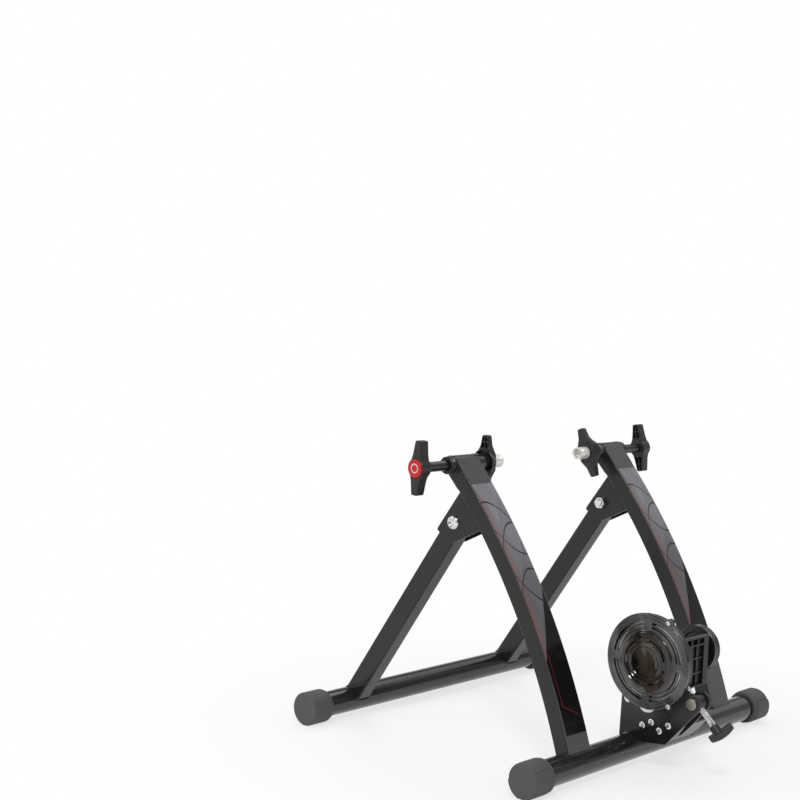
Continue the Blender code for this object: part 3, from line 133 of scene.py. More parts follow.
class Finish:
    """A material in the making, with the place that its detail is built from, holding a slot name of the record."""

    def __init__(self, name, sockets, slot=None):
        self.slot = slot
        self.material = bpy.data.materials.new(name)
        self.material.use_nodes = True
        tree = self.material.node_tree
        self.shader = tree.nodes["Principled BSDF"]
        for socket, value in sockets.items():
            self.shader.inputs[socket].default_value = value
        self.place = Wire(tree).node("ShaderNodeTexCoord", out="Object")
        self.facing = Wire(tree).node("ShaderNodeNewGeometry", out="Normal")

    def feed(self, **wires):
        for name, wire in wires.items():
            wire.tree.links.new(wire.socket, self.shader.inputs[name.replace("_", " ").title()])

    def grain(self, scale, detail=2.0, stretch=(1, 1, 1)):
        """Noise from 0 to 1 over the piece, in features per metre."""
        mapped = self.place.node("ShaderNodeMapping", None, {"Vector": self.place, "Scale": stretch})
        return mapped.node("ShaderNodeTexNoise", None, {"Vector": mapped, "Scale": scale, "Detail": detail})

    def from_axis(self, spot):
        """The distance from an axis that runs across the trainer through a side-view spot."""
        _, back, up = self.place.parts()
        return (back - spot[0]).across(up - spot[1])

    def relief(self, height, depth):
        """A bump of a real depth, in metres."""
        self.feed(Normal=height.node("ShaderNodeBump", None, {"Height": height, "Distance": depth}))

    def one_grain(self, texture, dark, light, rough_by, rough, depth):
        """Colour, roughness and relief that all follow one grain."""
        self.feed(base_color=texture.mix(dark, light), roughness=texture * rough_by + rough)
        self.relief(texture, depth)

    def dust(self, clean, tint, amount=0.25):
        """The clean colour with a little dust on the faces that look up."""
        upward = self.facing.parts()[2].step(0.35, 1.0)
        settled = upward * self.grain(55, 4).step(0.40, 0.72) * amount
        return settled.mix(clean, tint)


ORANGE_PEEL = (520, 2)


def black_paint(name, gloss):
    """Powder coat. gloss is 1 on the tubes and less on the flatter legs and brackets."""
    sockets = {"Coat Weight": 0.2 * gloss, "Coat Roughness": 0.05, "IOR": 1.36 + 0.14 * gloss}
    made = Finish(name, sockets, "frame_paint")
    broad = made.grain(9, 3)
    peel = made.grain(*ORANGE_PEEL)
    fine = made.grain(1700, 1)
    colour = broad.mix((0.012, 0.012, 0.013), (0.019, 0.019, 0.020))
    made.feed(base_color=made.dust(colour, (0.050, 0.051, 0.053)), roughness=broad * 0.08 + peel * 0.04 + 0.10)
    made.relief(peel * 0.75 + fine * 0.25, 0.00006)
    return made


def middle(node):
    """The middle of a node's box; for a turned piece that is a point on its axis."""
    low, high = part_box(node)
    return (low + high) / 2


def mesh_of(work):
    """The mesh of a finished bmesh, its faces turned outwards."""
    mesh = bpy.data.meshes.new("shape")
    bmesh.ops.recalc_face_normals(work, faces=work.faces)
    work.to_mesh(mesh)
    work.free()
    return mesh


def turned(profile, sides=96, swell=None):
    """A profile of (radius, height) turned about local z: solid if it starts on the axis, else a ring.
    swell changes a radius with the angle."""
    work = bmesh.new()
    rings = []
    for radius, height in profile:
        if radius < 1e-6:
            rings.append([work.verts.new((0, 0, height))] * sides)
            continue
        ring = []
        for i in range(sides):
            angle = 2 * pi * i / sides
            reach = swell(radius, height, angle) if swell else radius
            ring.append(work.verts.new((reach * cos(angle), reach * sin(angle), height)))
        rings.append(ring)
    if profile[0][0] > 0:
        rings.append(rings[0])
    for upper, lower in zip(rings, rings[1:]):
        for i in range(sides):
            j = (i + 1) % sides
            corners = list(dict.fromkeys((upper[i], upper[j], lower[j], lower[i])))
            if len(corners) > 2:
                work.faces.new(corners)
    return mesh_of(work)


def raised(base, *points):
    """Profile points measured from a height of their own."""
    return [(radius, base + up) for radius, up in points]


def arc(centre, radius, start, end, count):
    """Points round part of a circle."""
    return [(centre[0] + radius * cos(start + (end - start) * i / count),
             centre[1] + radius * sin(start + (end - start) * i / count)) for i in range(count + 1)]


def eased(corners, count=5):
    """Corners given as (x, y, radius), each rounded by its radius; a radius of 0 stays sharp."""
    outline = []
    for i, (x, y, radius) in enumerate(corners):
        here = Vector((x, y))
        before = (Vector(corners[i - 1][:2]) - here).normalized()
        after = (Vector(corners[(i + 1) % len(corners)][:2]) - here).normalized()
        half = acos(max(-1, min(1, before.dot(after)))) / 2
        if radius <= 0 or half > radians(88):
            outline.append((x, y))
            continue
        centre = here + (before + after).normalized() * radius / sin(half)
        first = here + before * radius / tan(half) - centre
        sweep = first.angle_signed(here + after * radius / tan(half) - centre)
        angle = atan2(first.y, first.x)
        outline += arc(centre, radius, angle, angle - sweep, count)
    return outline


def holder(data, name="holder"):
    """A new object in the scene for a mesh, curve, lamp or camera."""
    made = bpy.data.objects.new(name, data)
    bpy.context.scene.collection.objects.link(made)
    return made


def baked(obj):
    """The plain mesh of an object with its modifiers; the object is removed."""
    bpy.context.view_layer.update()
    mesh = bpy.data.meshes.new_from_object(obj.evaluated_get(bpy.context.evaluated_depsgraph_get()))
    bpy.data.objects.remove(obj)
    return mesh


def modified(mesh, kind, **settings):
    """A mesh after one modifier."""
    obj = holder(mesh)
    modifier = obj.modifiers.new(kind.lower(), kind)
    for setting, value in settings.items():
        setattr(modifier, setting, value)
    return baked(obj)


# In a side view, local x runs to the front, local y up and local z to the right
SIDE = Matrix(((0, 0, 1, 0), (1, 0, 0, 0), (0, 1, 0, 0), (0, 0, 0, 1)))
SIDES = ((-1, "left"), (1, "right"))


def piece(name, mesh, finish, body, nodes, at=(0, 0, 0), turn=SIDE, sharp=34):
    """Sets a mesh in place, paints it and lets a body carry it instead of its nodes. An edge stays
    sharp past an angle in degrees."""
    mesh.transform(Matrix.Translation(at) @ turn)
    mesh.materials.clear()
    mesh.materials.append(finish.material)
    mesh.shade_smooth()
    mesh.set_sharp_from_angle(angle=radians(sharp))
    mesh = modified(mesh, "WEIGHTED_NORMAL", keep_sharp=True, weight=80)
    mesh.name = name
    obj = holder(mesh, name)
    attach(obj, body)
    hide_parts(*nodes)


PAINT = black_paint("gloss_black_powder_coat", 1.0)
LEG_PAINT = black_paint("satin_black_powder_coat", 0.15)
TUBE_RADIUS = 0.0183
TUBE_WALL = 0.0015
EDGE = 0.0004
REAR_TUBE = middle("rear_base_tube")
FRONT_TUBE = middle("front_base_tube")

for node, body in (("rear_base_tube", "frame"), ("front_base_tube", "front_frame")):
    low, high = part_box(node)
    half = (high.x - low.x) / 2
    inside = TUBE_RADIUS - TUBE_WALL
    tube = turned([(TUBE_RADIUS, -half + EDGE), (TUBE_RADIUS, half - EDGE), (TUBE_RADIUS - EDGE, half),
                   (inside, half), (inside, -half), (TUBE_RADIUS - EDGE, -half)])
    piece(f"{node}_painted", tube, PAINT, body, [node], (low + high) / 2)


# Rubber feet. Moulded cups pushed over the tube ends. The rear pair are turned to level the
# stand, so their skin is divided into five lobes that step out by different amounts; the front
# pair are plain with a tapered mouth.

FOOT_RADIUS = 0.0240
FOOT_LENGTH = 0.0385
MOUTH = -FOOT_LENGTH
LOBES = (0.0, -0.0006, 0.0006, -0.0004, -0.0002)
LOBE_TURN = radians(360 / len(LOBES))
LOBE_GROOVE = 0.0007

rubber = Finish("dark_grey_rubber", {"IOR": 1.5, "Specular IOR Level": 0.35}, "foot_rubber")
mottle = rubber.grain(60, 4)
pores = rubber.grain(2400, 2)
rubber_tint = mottle.mix((0.062, 0.064, 0.068), (0.088, 0.091, 0.096))
rubber.feed(base_color=rubber.dust(rubber_tint, 0.12, 0.3), roughness=mottle * 0.15 + 0.55)
rubber.relief(pores * 0.6 + rubber.grain(700, 2) * 0.4, 0.00008)


def foot(skirt, sides, swell=None):
    """A cup with a softened end and a skirt of its own, its end face at local z = 0."""
    face = [(0, -0.0004), (FOOT_RADIUS - 0.0070, -0.0003), (FOOT_RADIUS - 0.0026, 0),
            (FOOT_RADIUS - 0.0012, -0.0003), (FOOT_RADIUS - 0.0004, -0.0011), (FOOT_RADIUS, -0.0024)]
    bore = TUBE_RADIUS + 0.0002
    return turned([*face, *skirt, (bore, MOUTH), (bore, -0.003), (0, -0.003)], sides, swell)


def levelling_foot(first):
    """first is the angle of the first lobe's edge, from the front and upwards."""
    def swell(radius, height, angle):
        if radius < FOOT_RADIUS - 0.0026 or not MOUTH + 0.0065 < height < 0.001:
            return radius
        lobe, share = divmod((angle - first) / LOBE_TURN % len(LOBES), 1)
        from_edge = min(share, 1 - share) * LOBE_TURN * FOOT_RADIUS
        return radius + LOBES[int(lobe)] - (LOBE_GROOVE if from_edge < 0.0006 else 0)
    collar = FOOT_RADIUS - 0.0011
    return foot([(FOOT_RADIUS, MOUTH + 0.0068), (collar, MOUTH + 0.0060), (collar - 0.0008, MOUTH + 0.0050),
                 (collar, MOUTH + 0.0040), (collar, MOUTH + 0.0010), (collar - 0.0008, MOUTH)], 250, swell)


def plain_foot():
    return foot([(FOOT_RADIUS, MOUTH + 0.0066), (FOOT_RADIUS - 0.0006, MOUTH + 0.0056),
                 (FOOT_RADIUS - 0.0003, MOUTH + 0.0046), (FOOT_RADIUS - 0.0022, MOUTH + 0.0006),
                 (FOOT_RADIUS - 0.0030, MOUTH)], 128)


def sided(side, *meshes):
    """Turns meshes that are made for the right side about, for the left one."""
    if side < 0:
        for mesh in meshes:
            mesh.transform(Matrix.Rotation(pi, 4, "Y"))


for s, n in SIDES:
    for node, body, mesh in ((f"rear_foot_{n}", "frame", levelling_foot(radians(39) if s < 0 else radians(6))),
                             (f"front_foot_{n}", "front_frame", plain_foot())):
        low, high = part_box(node)
        sided(s, mesh)
        end = (low.x if s < 0 else high.x, *middle(node).yz)
        piece(f"{node}_rubber", mesh, rubber, body, [node], end)


# Rear legs. Rectangular steel tube, 47 by 24 mm, rolled to a bow of 960 mm and welded to the
# clamp barrel above and the floor tube below. A film on the rear face is silver grey with dark
# hairlines above a slanted edge and gloss black with a red rule below it.

LEG_DEPTH = 0.0241
LEG_WIDTH = 0.0466
LEG_CORNER = 0.0030
WELD_GAP = 0.0002
THROUGH = 0.30  # half the length of a cutter that passes both legs
BOW_RADIUS = 0.960
CLAMP_AXIS = middle("head_barrel_left")
BARREL_RADIUS = 0.0125


def flat(point):
    """A place in the side view, as (to the front, up)."""
    return Vector((point.y, point.z))


def bow_centre(first, second):
    """The centre in front of the leg of the bow through two side-view points."""
    chord = second - first
    across = Vector((-chord.y, chord.x)).normalized()
    if across.x < 0:
        across = -across
    return (first + second) / 2 + across * sqrt(BOW_RADIUS ** 2 - chord.length_squared / 4)


BOW_CENTRE = bow_centre(flat(CLAMP_AXIS), flat(REAR_TUBE))
LEG_FRONT_RADIUS = BOW_RADIUS - LEG_DEPTH / 2


def bow_angle(point):
    """Where a side-view point lies round the bow."""
    return atan2(point[1] - BOW_CENTRE.y, point[0] - BOW_CENTRE.x)


def recipe(name, inputs):
    """A new geometry tree with a geometry input and named sizes; returns it and its input wire."""
    tree = bpy.data.node_groups.new(name, "GeometryNodeTree")
    tree.interface.new_socket("Geometry", in_out="INPUT", socket_type="NodeSocketGeometry")
    for label, value in inputs.items():
        kind = "NodeSocketInt" if isinstance(value, int) else "NodeSocketFloat"
        made = tree.interface.new_socket(label, in_out="INPUT", socket_type=kind)
        made.default_value = value
    tree.interface.new_socket("Material", in_out="INPUT", socket_type="NodeSocketMaterial")
    tree.interface.new_socket("Geometry", in_out="OUTPUT", socket_type="NodeSocketGeometry")
    return Wire(tree).node("NodeGroupInput")


def served(start, geometry):
    """Ends a geometry tree: real geometry, with its material."""
    real = geometry.node("GeometryNodeRealizeInstances", None, {0: geometry})
    painted = real.node("GeometryNodeSetMaterial", None, {"Geometry": real, "Material": start.other("Material")})
    painted.node("NodeGroupOutput", None, {0: painted})
    return start.tree


def grown(tree, mesh, finish, **sizes):
    """The plain mesh that a geometry tree makes from another, with its named sizes."""
    obj = holder(mesh)
    modifier = obj.modifiers.new("recipe", "NODES")
    modifier.node_group = tree
    wanted = {label.replace("_", " "): value for label, value in sizes.items()}
    wanted["Material"] = finish.material
    for item in tree.interface.items_tree:
        if item.item_type == "SOCKET" and item.in_out == "INPUT" and item.name in wanted:
            modifier[item.identifier] = wanted[item.name]
    return baked(obj)


def path(points, closed=False):
    """A line of edges through points; one point or none gives a blank to start a tree from."""
    edges = [(i, i + 1) for i in range(len(points) - 1)]
    if closed:
        edges.append((len(points) - 1, 0))
    mesh = bpy.data.meshes.new("path")
    mesh.from_pydata(points, edges, [])
    return mesh


def box_section():
    """Rectangular tube with rounded corners, swept along a line of edges."""
    start = recipe("box_section_tube", {"Width": 0.04, "Depth": 0.02, "Corner": 0.003, "Corner Steps": 6})
    line = start.node("GeometryNodeMeshToCurve", None, {0: start})
    line = line.node("GeometryNodeSetCurveNormal", {"mode": "Z_UP"}, {0: line})
    section = start.node("GeometryNodeCurvePrimitiveQuadrilateral", None,
                         {"Width": start.other("Width"), "Height": start.other("Depth")})
    section = section.node("GeometryNodeFilletCurve", {"mode": "POLY"},
                           {"Curve": section, "Radius": start.other("Corner"),
                            "Count": start.other("Corner Steps")})
    swept = line.node("GeometryNodeCurveToMesh", None, {"Curve": line, "Profile Curve": section, "Fill Caps": True})
    return served(start, swept)


def weld_bead():
    """A rippled bead along a line of edges."""
    start = recipe("weld_bead", {"Bead Radius": 0.0016, "Ripple": 0.0016, "Ripple Depth": 0.12})
    line = start.node("GeometryNodeMeshToCurve", None, {0: start})
    line = line.node("GeometryNodeResampleCurve", {"mode": "LENGTH"}, {"Curve": line, "Length": 0.0004})
    run = line.node("GeometryNodeSplineParameter", out="Length")
    wave = run.maths("SINE", run * (2 * pi) / start.other("Ripple"))
    line = line.node("GeometryNodeSetCurveRadius", None,
                     {"Curve": line, "Radius": wave * start.other("Ripple Depth") + 1})
    profile = line.node("GeometryNodeCurvePrimitiveCircle", None,
                        {"Resolution": 10, "Radius": start.other("Bead Radius")})
    return served(start, line.node("GeometryNodeCurveToMesh", None, {"Curve": line, "Profile Curve": profile}))


BOX_SECTION = box_section()
WELD_BEAD = weld_bead()


def cylinder(radius, start, end, centre=(0, 0), sides=96):
    """A cylinder along local z."""
    work = bmesh.new()
    bmesh.ops.create_cone(work, cap_ends=True, segments=sides, radius1=radius, radius2=radius, depth=end - start)
    bmesh.ops.translate(work, verts=work.verts, vec=(centre[0], centre[1], (start + end) / 2))
    return mesh_of(work)


SLIVER = 0.000003


def boolean(operation, mesh, *others):
    """Cuts or joins meshes one by one, then clears the slivers that are left."""
    for other in others:
        tool = holder(other, "tool")
        mesh = modified(mesh, "BOOLEAN", operation=operation, object=tool, solver="EXACT")
        bpy.data.objects.remove(tool)
    work = bmesh.new()
    work.from_mesh(mesh)
    bmesh.ops.remove_doubles(work, verts=work.verts, dist=SLIVER)
    bmesh.ops.dissolve_degenerate(work, edges=work.edges, dist=SLIVER)
    work.to_mesh(mesh)
    work.free()
    return mesh


def cut(mesh, *others):
    return boolean("DIFFERENCE", mesh, *others)


def joined(mesh, *others):
    return boolean("UNION", mesh, *others)


def together(*meshes):
    """Several closed shells in one mesh."""
    work = bmesh.new()
    for mesh in meshes:
        work.from_mesh(mesh)
    made = bpy.data.meshes.new("together")
    work.to_mesh(made)
    work.free()
    return made


def sheet(outline, thickness, start=0.0, holes=()):
    """A flat outline with its holes, thickened along local z."""
    curve = bpy.data.curves.new("outline", "CURVE")
    curve.dimensions = "2D"
    curve.fill_mode = "BOTH"
    curve.extrude = thickness / 2
    for loop in (outline, *holes):
        spline = curve.splines.new("POLY")
        spline.points.add(len(loop) - 1)
        for point, place in zip(spline.points, loop):
            point.co = (place[0], place[1], 0, 1)
        spline.use_cyclic_u = True
    work = bmesh.new()
    work.from_mesh(baked(holder(curve)))
    bmesh.ops.remove_doubles(work, verts=work.verts, dist=1e-6)
    bmesh.ops.dissolve_limit(work, angle_limit=radians(0.05), verts=work.verts, edges=work.edges)
    bmesh.ops.translate(work, verts=work.verts, vec=(0, 0, start + thickness / 2))
    return mesh_of(work)


def bevelled(mesh, width, segments=3):
    """A mesh with its sharp edges rounded."""
    return modified(mesh, "BEVEL", width=width, segments=segments, limit_method="ANGLE", angle_limit=radians(40),
                    miter_outer="MITER_ARC", use_clamp_overlap=True)


def circle(centre, radius, count=64):
    return arc(centre, radius, 0, 2 * pi * (count - 1) / count, count - 1)


def hull(points):
    """The convex outline round a set of points."""
    points = sorted(set((round(x, 9), round(y, 9)) for x, y in points))

    def chain(run):
        kept = []
        for p in run:
            while len(kept) > 1 and ((kept[-1][0] - kept[-2][0]) * (p[1] - kept[-2][1])
                                     - (kept[-1][1] - kept[-2][1]) * (p[0] - kept[-2][0])) <= 1e-12:
                kept.pop()
            kept.append(p)
        return kept[:-1]

    return chain(points) + chain(points[::-1])


def section_points(width, depth, corner):
    """Points round a rounded rectangle, as (across, out)."""
    w, d = width / 2, depth / 2
    return eased([(-w, -d, corner), (w, -d, corner), (w, d, corner), (-w, d, corner)], 4)


def meeting(centre, radius, other, reach, near):
    """Where two circles in the side view meet, nearest a point."""
    apart = other - centre
    along = (radius ** 2 - reach ** 2 + apart.length_squared) / (2 * apart.length)
    off = sqrt(max(0.0, radius ** 2 - along ** 2))
    way = apart.normalized()
    spots = [centre + way * along + Vector((-way.y, way.x)) * off * k for k in (-1, 1)]
    return min(spots, key=lambda spot: (spot - near).length)


# The film's marks, as drops below the clamp axis; a hairline has its drop, slope and bend
FILM_TOP, SILVER_END, RULE_START, RULE_END, FOOT_RULE = 0.0225, 0.1960, 0.2290, 0.2942, 0.3020
FILM_END = {"left": 0.330, "right": 0.270}
HAIRLINES = ((0.050, 0.014, 0.010), (0.078, -0.016, 0.012), (0.104, 0.018, -0.010), (0.133, -0.014, 0.014),
             (0.160, 0.020, -0.008))


def film_paint(name, arm_x, film_end):
    """Black paint with the printed film on the rear face. across goes from -1 to 1 over the leg's
    width, down is the drop below the clamp axis."""
    made = Finish(name, {"Coat Weight": 0.02, "Coat Roughness": 0.05, "IOR": 1.36}, "frame_paint")
    x, _, z = made.place.parts()
    across = (x - arm_x) / (LEG_WIDTH / 2)
    down = CLAMP_AXIS.z - z
    rearward = made.facing.parts()[1].step(-0.35, -0.75)
    broad = made.grain(9, 3)
    peel = made.grain(*ORANGE_PEEL)
    facet = down.maths("FRACT", down * 16 + across * 0.55)
    second = down.maths("FRACT", down * 11 - across * 0.8)
    silver = (facet * 0.55 + second * 0.45).mix((0.134, 0.136, 0.147), (0.192, 0.195, 0.209))
    silver = (down.step(0.075, 0.150) * 0.5).mix(silver, (0.054, 0.055, 0.060))
    inked = (down + across * 0.048).step(SILVER_END + 0.001, SILVER_END)
    black = broad.mix((0.004, 0.004, 0.005), (0.007, 0.007, 0.008))
    printed = inked.mix(black, silver)
    pink = across.step(-0.42, -0.56) * down.step(0.030, 0.050) * inked
    printed = (pink * 0.5).mix(printed, (0.190, 0.078, 0.076))
    for drop, slope, bend in HAIRLINES:
        line = abs(down - (across * slope + across * across * bend + drop)).step(0.0015, 0.0008)
        printed = line.mix(printed, (0.012, 0.008, 0.009))
    rule = abs(across + 0.62).step(0.045, 0.020) * down.step(RULE_START, RULE_START + 0.004)
    rule = rule * down.step(RULE_END + 0.0008, RULE_END)
    foot_rule = abs(down - (across * 0.012 + FOOT_RULE)).step(0.0011, 0.0005) * abs(across).step(0.64, 0.62)
    ruled = rule.most(foot_rule) * (0.85 if film_end > FOOT_RULE else 0)
    printed = ruled.mix(printed, (0.150, 0.012, 0.014))
    # Painted sheen: below the film the same black coat is painted lighter on the rear faces than on the sides, and
    # lighter still towards the bottom.
    paler_towards_bottom = down.step(film_end - 0.10, film_end + 0.02)
    plain = (broad * 0.4 + paler_towards_bottom * 0.6).mix((0.034, 0.034, 0.035), (0.094, 0.094, 0.095))
    shown = rearward * abs(across).step(0.92, 0.90) * down.step(FILM_TOP, FILM_TOP + 0.001)
    shown = shown * down.step(film_end + 0.0006, film_end)
    bare_with_painted_sheen = (rearward * 0.85 + 0.15).mix((0.013, 0.013, 0.014), plain)
    made.feed(base_color=shown.mix(bare_with_painted_sheen, printed), roughness=broad * 0.08 + peel * 0.04 + 0.20 - shown * 0.10)
    made.relief(peel, 0.00004)
    return made


def wrapped_end(arm_x):
    """The leg's top, formed round over the barrel: a saddle in the side view, the leg's width."""
    around = flat(CLAMP_AXIS)
    angle = bow_angle(around) + 0.034 / BOW_RADIUS
    out = Vector((cos(angle), sin(angle)))
    ends = [BOW_CENTRE + out * (BOW_RADIUS + off) for off in (LEG_DEPTH / 2, -LEG_DEPTH / 2)]
    width = LEG_WIDTH + 0.0002
    saddle = sheet(hull(circle(around, BARREL_RADIUS + 0.0006, 96) + ends), width, arm_x - width / 2)
    return bevelled(saddle, 0.0016, 4)


for s, n in SIDES:
    node = f"rear_leg_{n}"
    arm_x = middle(node).x
    start, end = bow_angle(flat(CLAMP_AXIS)), bow_angle(flat(REAR_TUBE))
    bow = [(arm_x, *place) for place in arc(BOW_CENTRE, BOW_RADIUS, start, end, 72)]
    paint = film_paint(f"{n}_leg_film", arm_x, FILM_END[n])
    leg = grown(BOX_SECTION, path(bow), paint, Width=LEG_WIDTH, Depth=LEG_DEPTH, Corner=LEG_CORNER)
    leg.transform(SIDE.inverted())
    leg = cut(joined(leg, wrapped_end(arm_x)), cylinder(BARREL_RADIUS - WELD_GAP, -0.25, 0.25, flat(CLAMP_AXIS)),
              cylinder(TUBE_RADIUS - WELD_GAP, -THROUGH, THROUGH, flat(REAR_TUBE)))
    piece(f"{node}_bowed", leg, paint, "frame", [node])
    seam = []
    for across, out in section_points(LEG_WIDTH + 0.0006, LEG_DEPTH + 0.0006, LEG_CORNER):
        spot = meeting(BOW_CENTRE, BOW_RADIUS + out, flat(REAR_TUBE), TUBE_RADIUS + WELD_GAP, flat(middle(node)))
        seam.append((arm_x + across, spot.x, spot.y))
    beads = [grown(WELD_BEAD, path(seam, True), PAINT, Bead_Radius=0.0013)]
    for side in (-1, 1):
        round_barrel = [(arm_x + side * (LEG_WIDTH / 2 - 0.0004), *spot)
                        for spot in circle(flat(CLAMP_AXIS), BARREL_RADIUS + 0.0001, 72)]
        beads.append(grown(WELD_BEAD, path(round_barrel, True), PAINT, Bead_Radius=0.0009))
    bead = together(*beads)
    bead.transform(SIDE.inverted())
    piece(f"{node}_welds", bead, PAINT, "frame", [])


# Folding joint. A channel bent from 2.5 mm plate is welded on the front of each rear leg; the
# front leg's end sits between its cheeks on an M10 bolt with a domed head outside and a nut
# inside.

FOLD_PIVOT = Vector((0, *middle("pivot_bolt_left").yz))
FRONT_LEG_X = abs(middle("front_leg_left").x)
PLATE = 0.0025
BRACKET_WIDTH = 0.0308
BOLT_HOLE = 0.0053
FIT = 0.0003


def out_to_bow(start, end, radius):
    """Where the line from start through end reaches a circle round the bow's centre."""
    way = (end - start).normalized()
    offset = start - BOW_CENTRE
    along = -offset.dot(way)
    return start + way * (along + sqrt(radius ** 2 - (offset.length_squared - along ** 2)))


def folding_bracket():
    """The channel in the side view: its back follows the leg's bow, its cheeks hold the bolt."""
    pivot = flat(FOLD_PIVOT)
    nose, chin = pivot + Vector((0.0315, -0.0135)), pivot + Vector((0.0055, -0.0315))
    back = LEG_FRONT_RADIUS + 0.0002
    top = out_to_bow(nose, pivot + Vector((-0.0035, 0.0355)), back)
    heel = out_to_bow(chin, pivot + Vector((-0.0425, -0.0075)), back)
    against = arc(BOW_CENTRE, back, bow_angle(top), bow_angle(heel), 12)
    front = eased([(*heel, 0), (*chin, 0.006), (*nose, 0.003), (*top, 0)], 8)[1:-1]
    body = sheet(against + front, BRACKET_WIDTH, -BRACKET_WIDTH / 2)
    between = arc(BOW_CENTRE, back - PLATE, bow_angle(top) - 0.03, bow_angle(heel) + 0.03, 14)
    between += [(between[-1][0] + 0.2, between[-1][1] - 0.2), (between[0][0] + 0.2, between[0][1] + 0.2)]
    inside = BRACKET_WIDTH - 2 * PLATE
    body = cut(body, sheet(between, inside, -inside / 2), cylinder(BOLT_HOLE, -0.03, 0.03, pivot, 48))
    return bevelled(body, 0.0007, 3)


BRACKET_SHAPE = folding_bracket()
for s, n in SIDES:
    piece(f"pivot_bracket_{n}_folded", BRACKET_SHAPE.copy(), LEG_PAINT, "frame", [f"pivot_bracket_{n}"],
          (s * FRONT_LEG_X, 0, 0))


zinc = Finish("bright_zinc_plate", {"Metallic": 1.0}, "bright_steel")
bloom = zinc.grain(300, 3)
scuff = zinc.grain(90, 4, (1, 6, 6))
zinc.feed(base_color=bloom.mix(0.66, (0.80, 0.79, 0.78)), roughness=scuff * 0.12 + 0.16)
zinc.relief(bloom, 0.000004)


def hexagon_nut(radius, bore, start, end):
    """A chamfered hexagon nut along local z; radius is to its corners."""
    flats = radius * cos(radians(30))
    chamfer = (radius - flats) * 0.6
    lathe_cut = turned([(flats * 0.97, start), (radius, start + chamfer), (radius, end - chamfer),
                        (flats * 0.97, end), (bore + 0.0005, end), (bore, end - 0.0005), (bore, start + 0.0005),
                        (bore + 0.0005, start)], 72)
    return boolean("INTERSECT", lathe_cut, sheet(circle((0, 0), radius, 6), end - start + 0.002, start - 0.001))


for s, n in SIDES:
    out = BRACKET_WIDTH / 2 + FIT
    bolt = turned([*raised(out, (0, 0.0016), (0.0060, 0.0014), (0.0064, 0.0034), (0.0072, 0.0040), (0.0084, 0.0036),
                           (0.0094, 0.0025), (0.0100, 0.0010), (0.0100, 0), (0.0050, 0)), (0.0050, -out - 0.0095),
                   (0.0044, -out - 0.0100), (0, -out - 0.0100)], 72)
    cross = [sheet([(-a, -b), (a, -b), (a, b), (-a, b)], 0.004, out + 0.0006)
             for a, b in ((0.0050, 0.0009), (0.0009, 0.0050))]
    bolt = cut(bolt, *cross)
    nut = hexagon_nut(0.0092, BOLT_HOLE, -out - 0.0080, -out)
    sided(s, bolt, nut)
    at = (s * FRONT_LEG_X, *FOLD_PIVOT.yz)
    piece(f"pivot_bolt_{n}_domed", bolt, zinc, "frame", [f"pivot_bolt_{n}"], at)
    piece(f"pivot_nut_{n}_hexagon", nut, zinc, "frame", [f"pivot_nut_{n}"], at)


# Front legs. Straight rectangular steel tube, 25 by 29 mm, welded to the front floor tube and
# drilled at the top for the folding bolt, in the same black powder coat.

FRONT_WIDTH = 0.0250
FRONT_DEPTH = 0.0293
FRONT_CORNER = 0.0025
down_leg = (flat(FRONT_TUBE) - flat(FOLD_PIVOT)).normalized()
ahead = Vector((-down_leg.y, down_leg.x))
if ahead.x < 0:
    ahead = -ahead
web_room = LEG_FRONT_RADIUS - FIT - PLATE - (BOW_CENTRE - flat(FOLD_PIVOT)).length
leg_top = sqrt((web_room - FIT) ** 2 - (FRONT_DEPTH / 2) ** 2)

for s, n in SIDES:
    node = f"front_leg_{n}"
    x = s * FRONT_LEG_X
    ends = [(x, *(flat(FOLD_PIVOT) - down_leg * leg_top)), (x, *flat(FRONT_TUBE))]
    leg = grown(BOX_SECTION, path(ends), LEG_PAINT, Width=FRONT_WIDTH, Depth=FRONT_DEPTH, Corner=FRONT_CORNER)
    leg.transform(SIDE.inverted())
    leg = cut(leg, cylinder(TUBE_RADIUS - WELD_GAP, -THROUGH, THROUGH, flat(FRONT_TUBE)),
              cylinder(BOLT_HOLE, -THROUGH, THROUGH, flat(FOLD_PIVOT), 48))
    piece(f"{node}_straight", leg, LEG_PAINT, "front_frame", [node])
    seam = []
    for across, out in section_points(FRONT_WIDTH + 0.0006, FRONT_DEPTH + 0.0006, FRONT_CORNER):
        back_off = sqrt((TUBE_RADIUS + WELD_GAP) ** 2 - out ** 2)
        spot = flat(FRONT_TUBE) - down_leg * back_off + ahead * out
        seam.append((x + across, spot.x, spot.y))
    bead = grown(WELD_BEAD, path(seam, True), PAINT, Bead_Radius=0.0014)
    bead.transform(SIDE.inverted())
    piece(f"{node}_weld", bead, PAINT, "front_frame", [])


# Clamp heads. A short round tube is welded across the top of each rear leg, and a black nylon
# bush with a flange carries the clamp screw in its outer end.

nylon = Finish("black_moulded_nylon", {"IOR": 1.5, "Specular IOR Level": 0.35}, "grip_plastic")
spark = nylon.grain(1500, 2)
cloud = nylon.grain(40, 3)
nylon.feed(base_color=cloud.mix((0.016, 0.016, 0.017), (0.025, 0.025, 0.026)), roughness=cloud * 0.12 + 0.32)
nylon.relief(spark, 0.00007)
CLAMP_LINE = (0, *CLAMP_AXIS.yz)

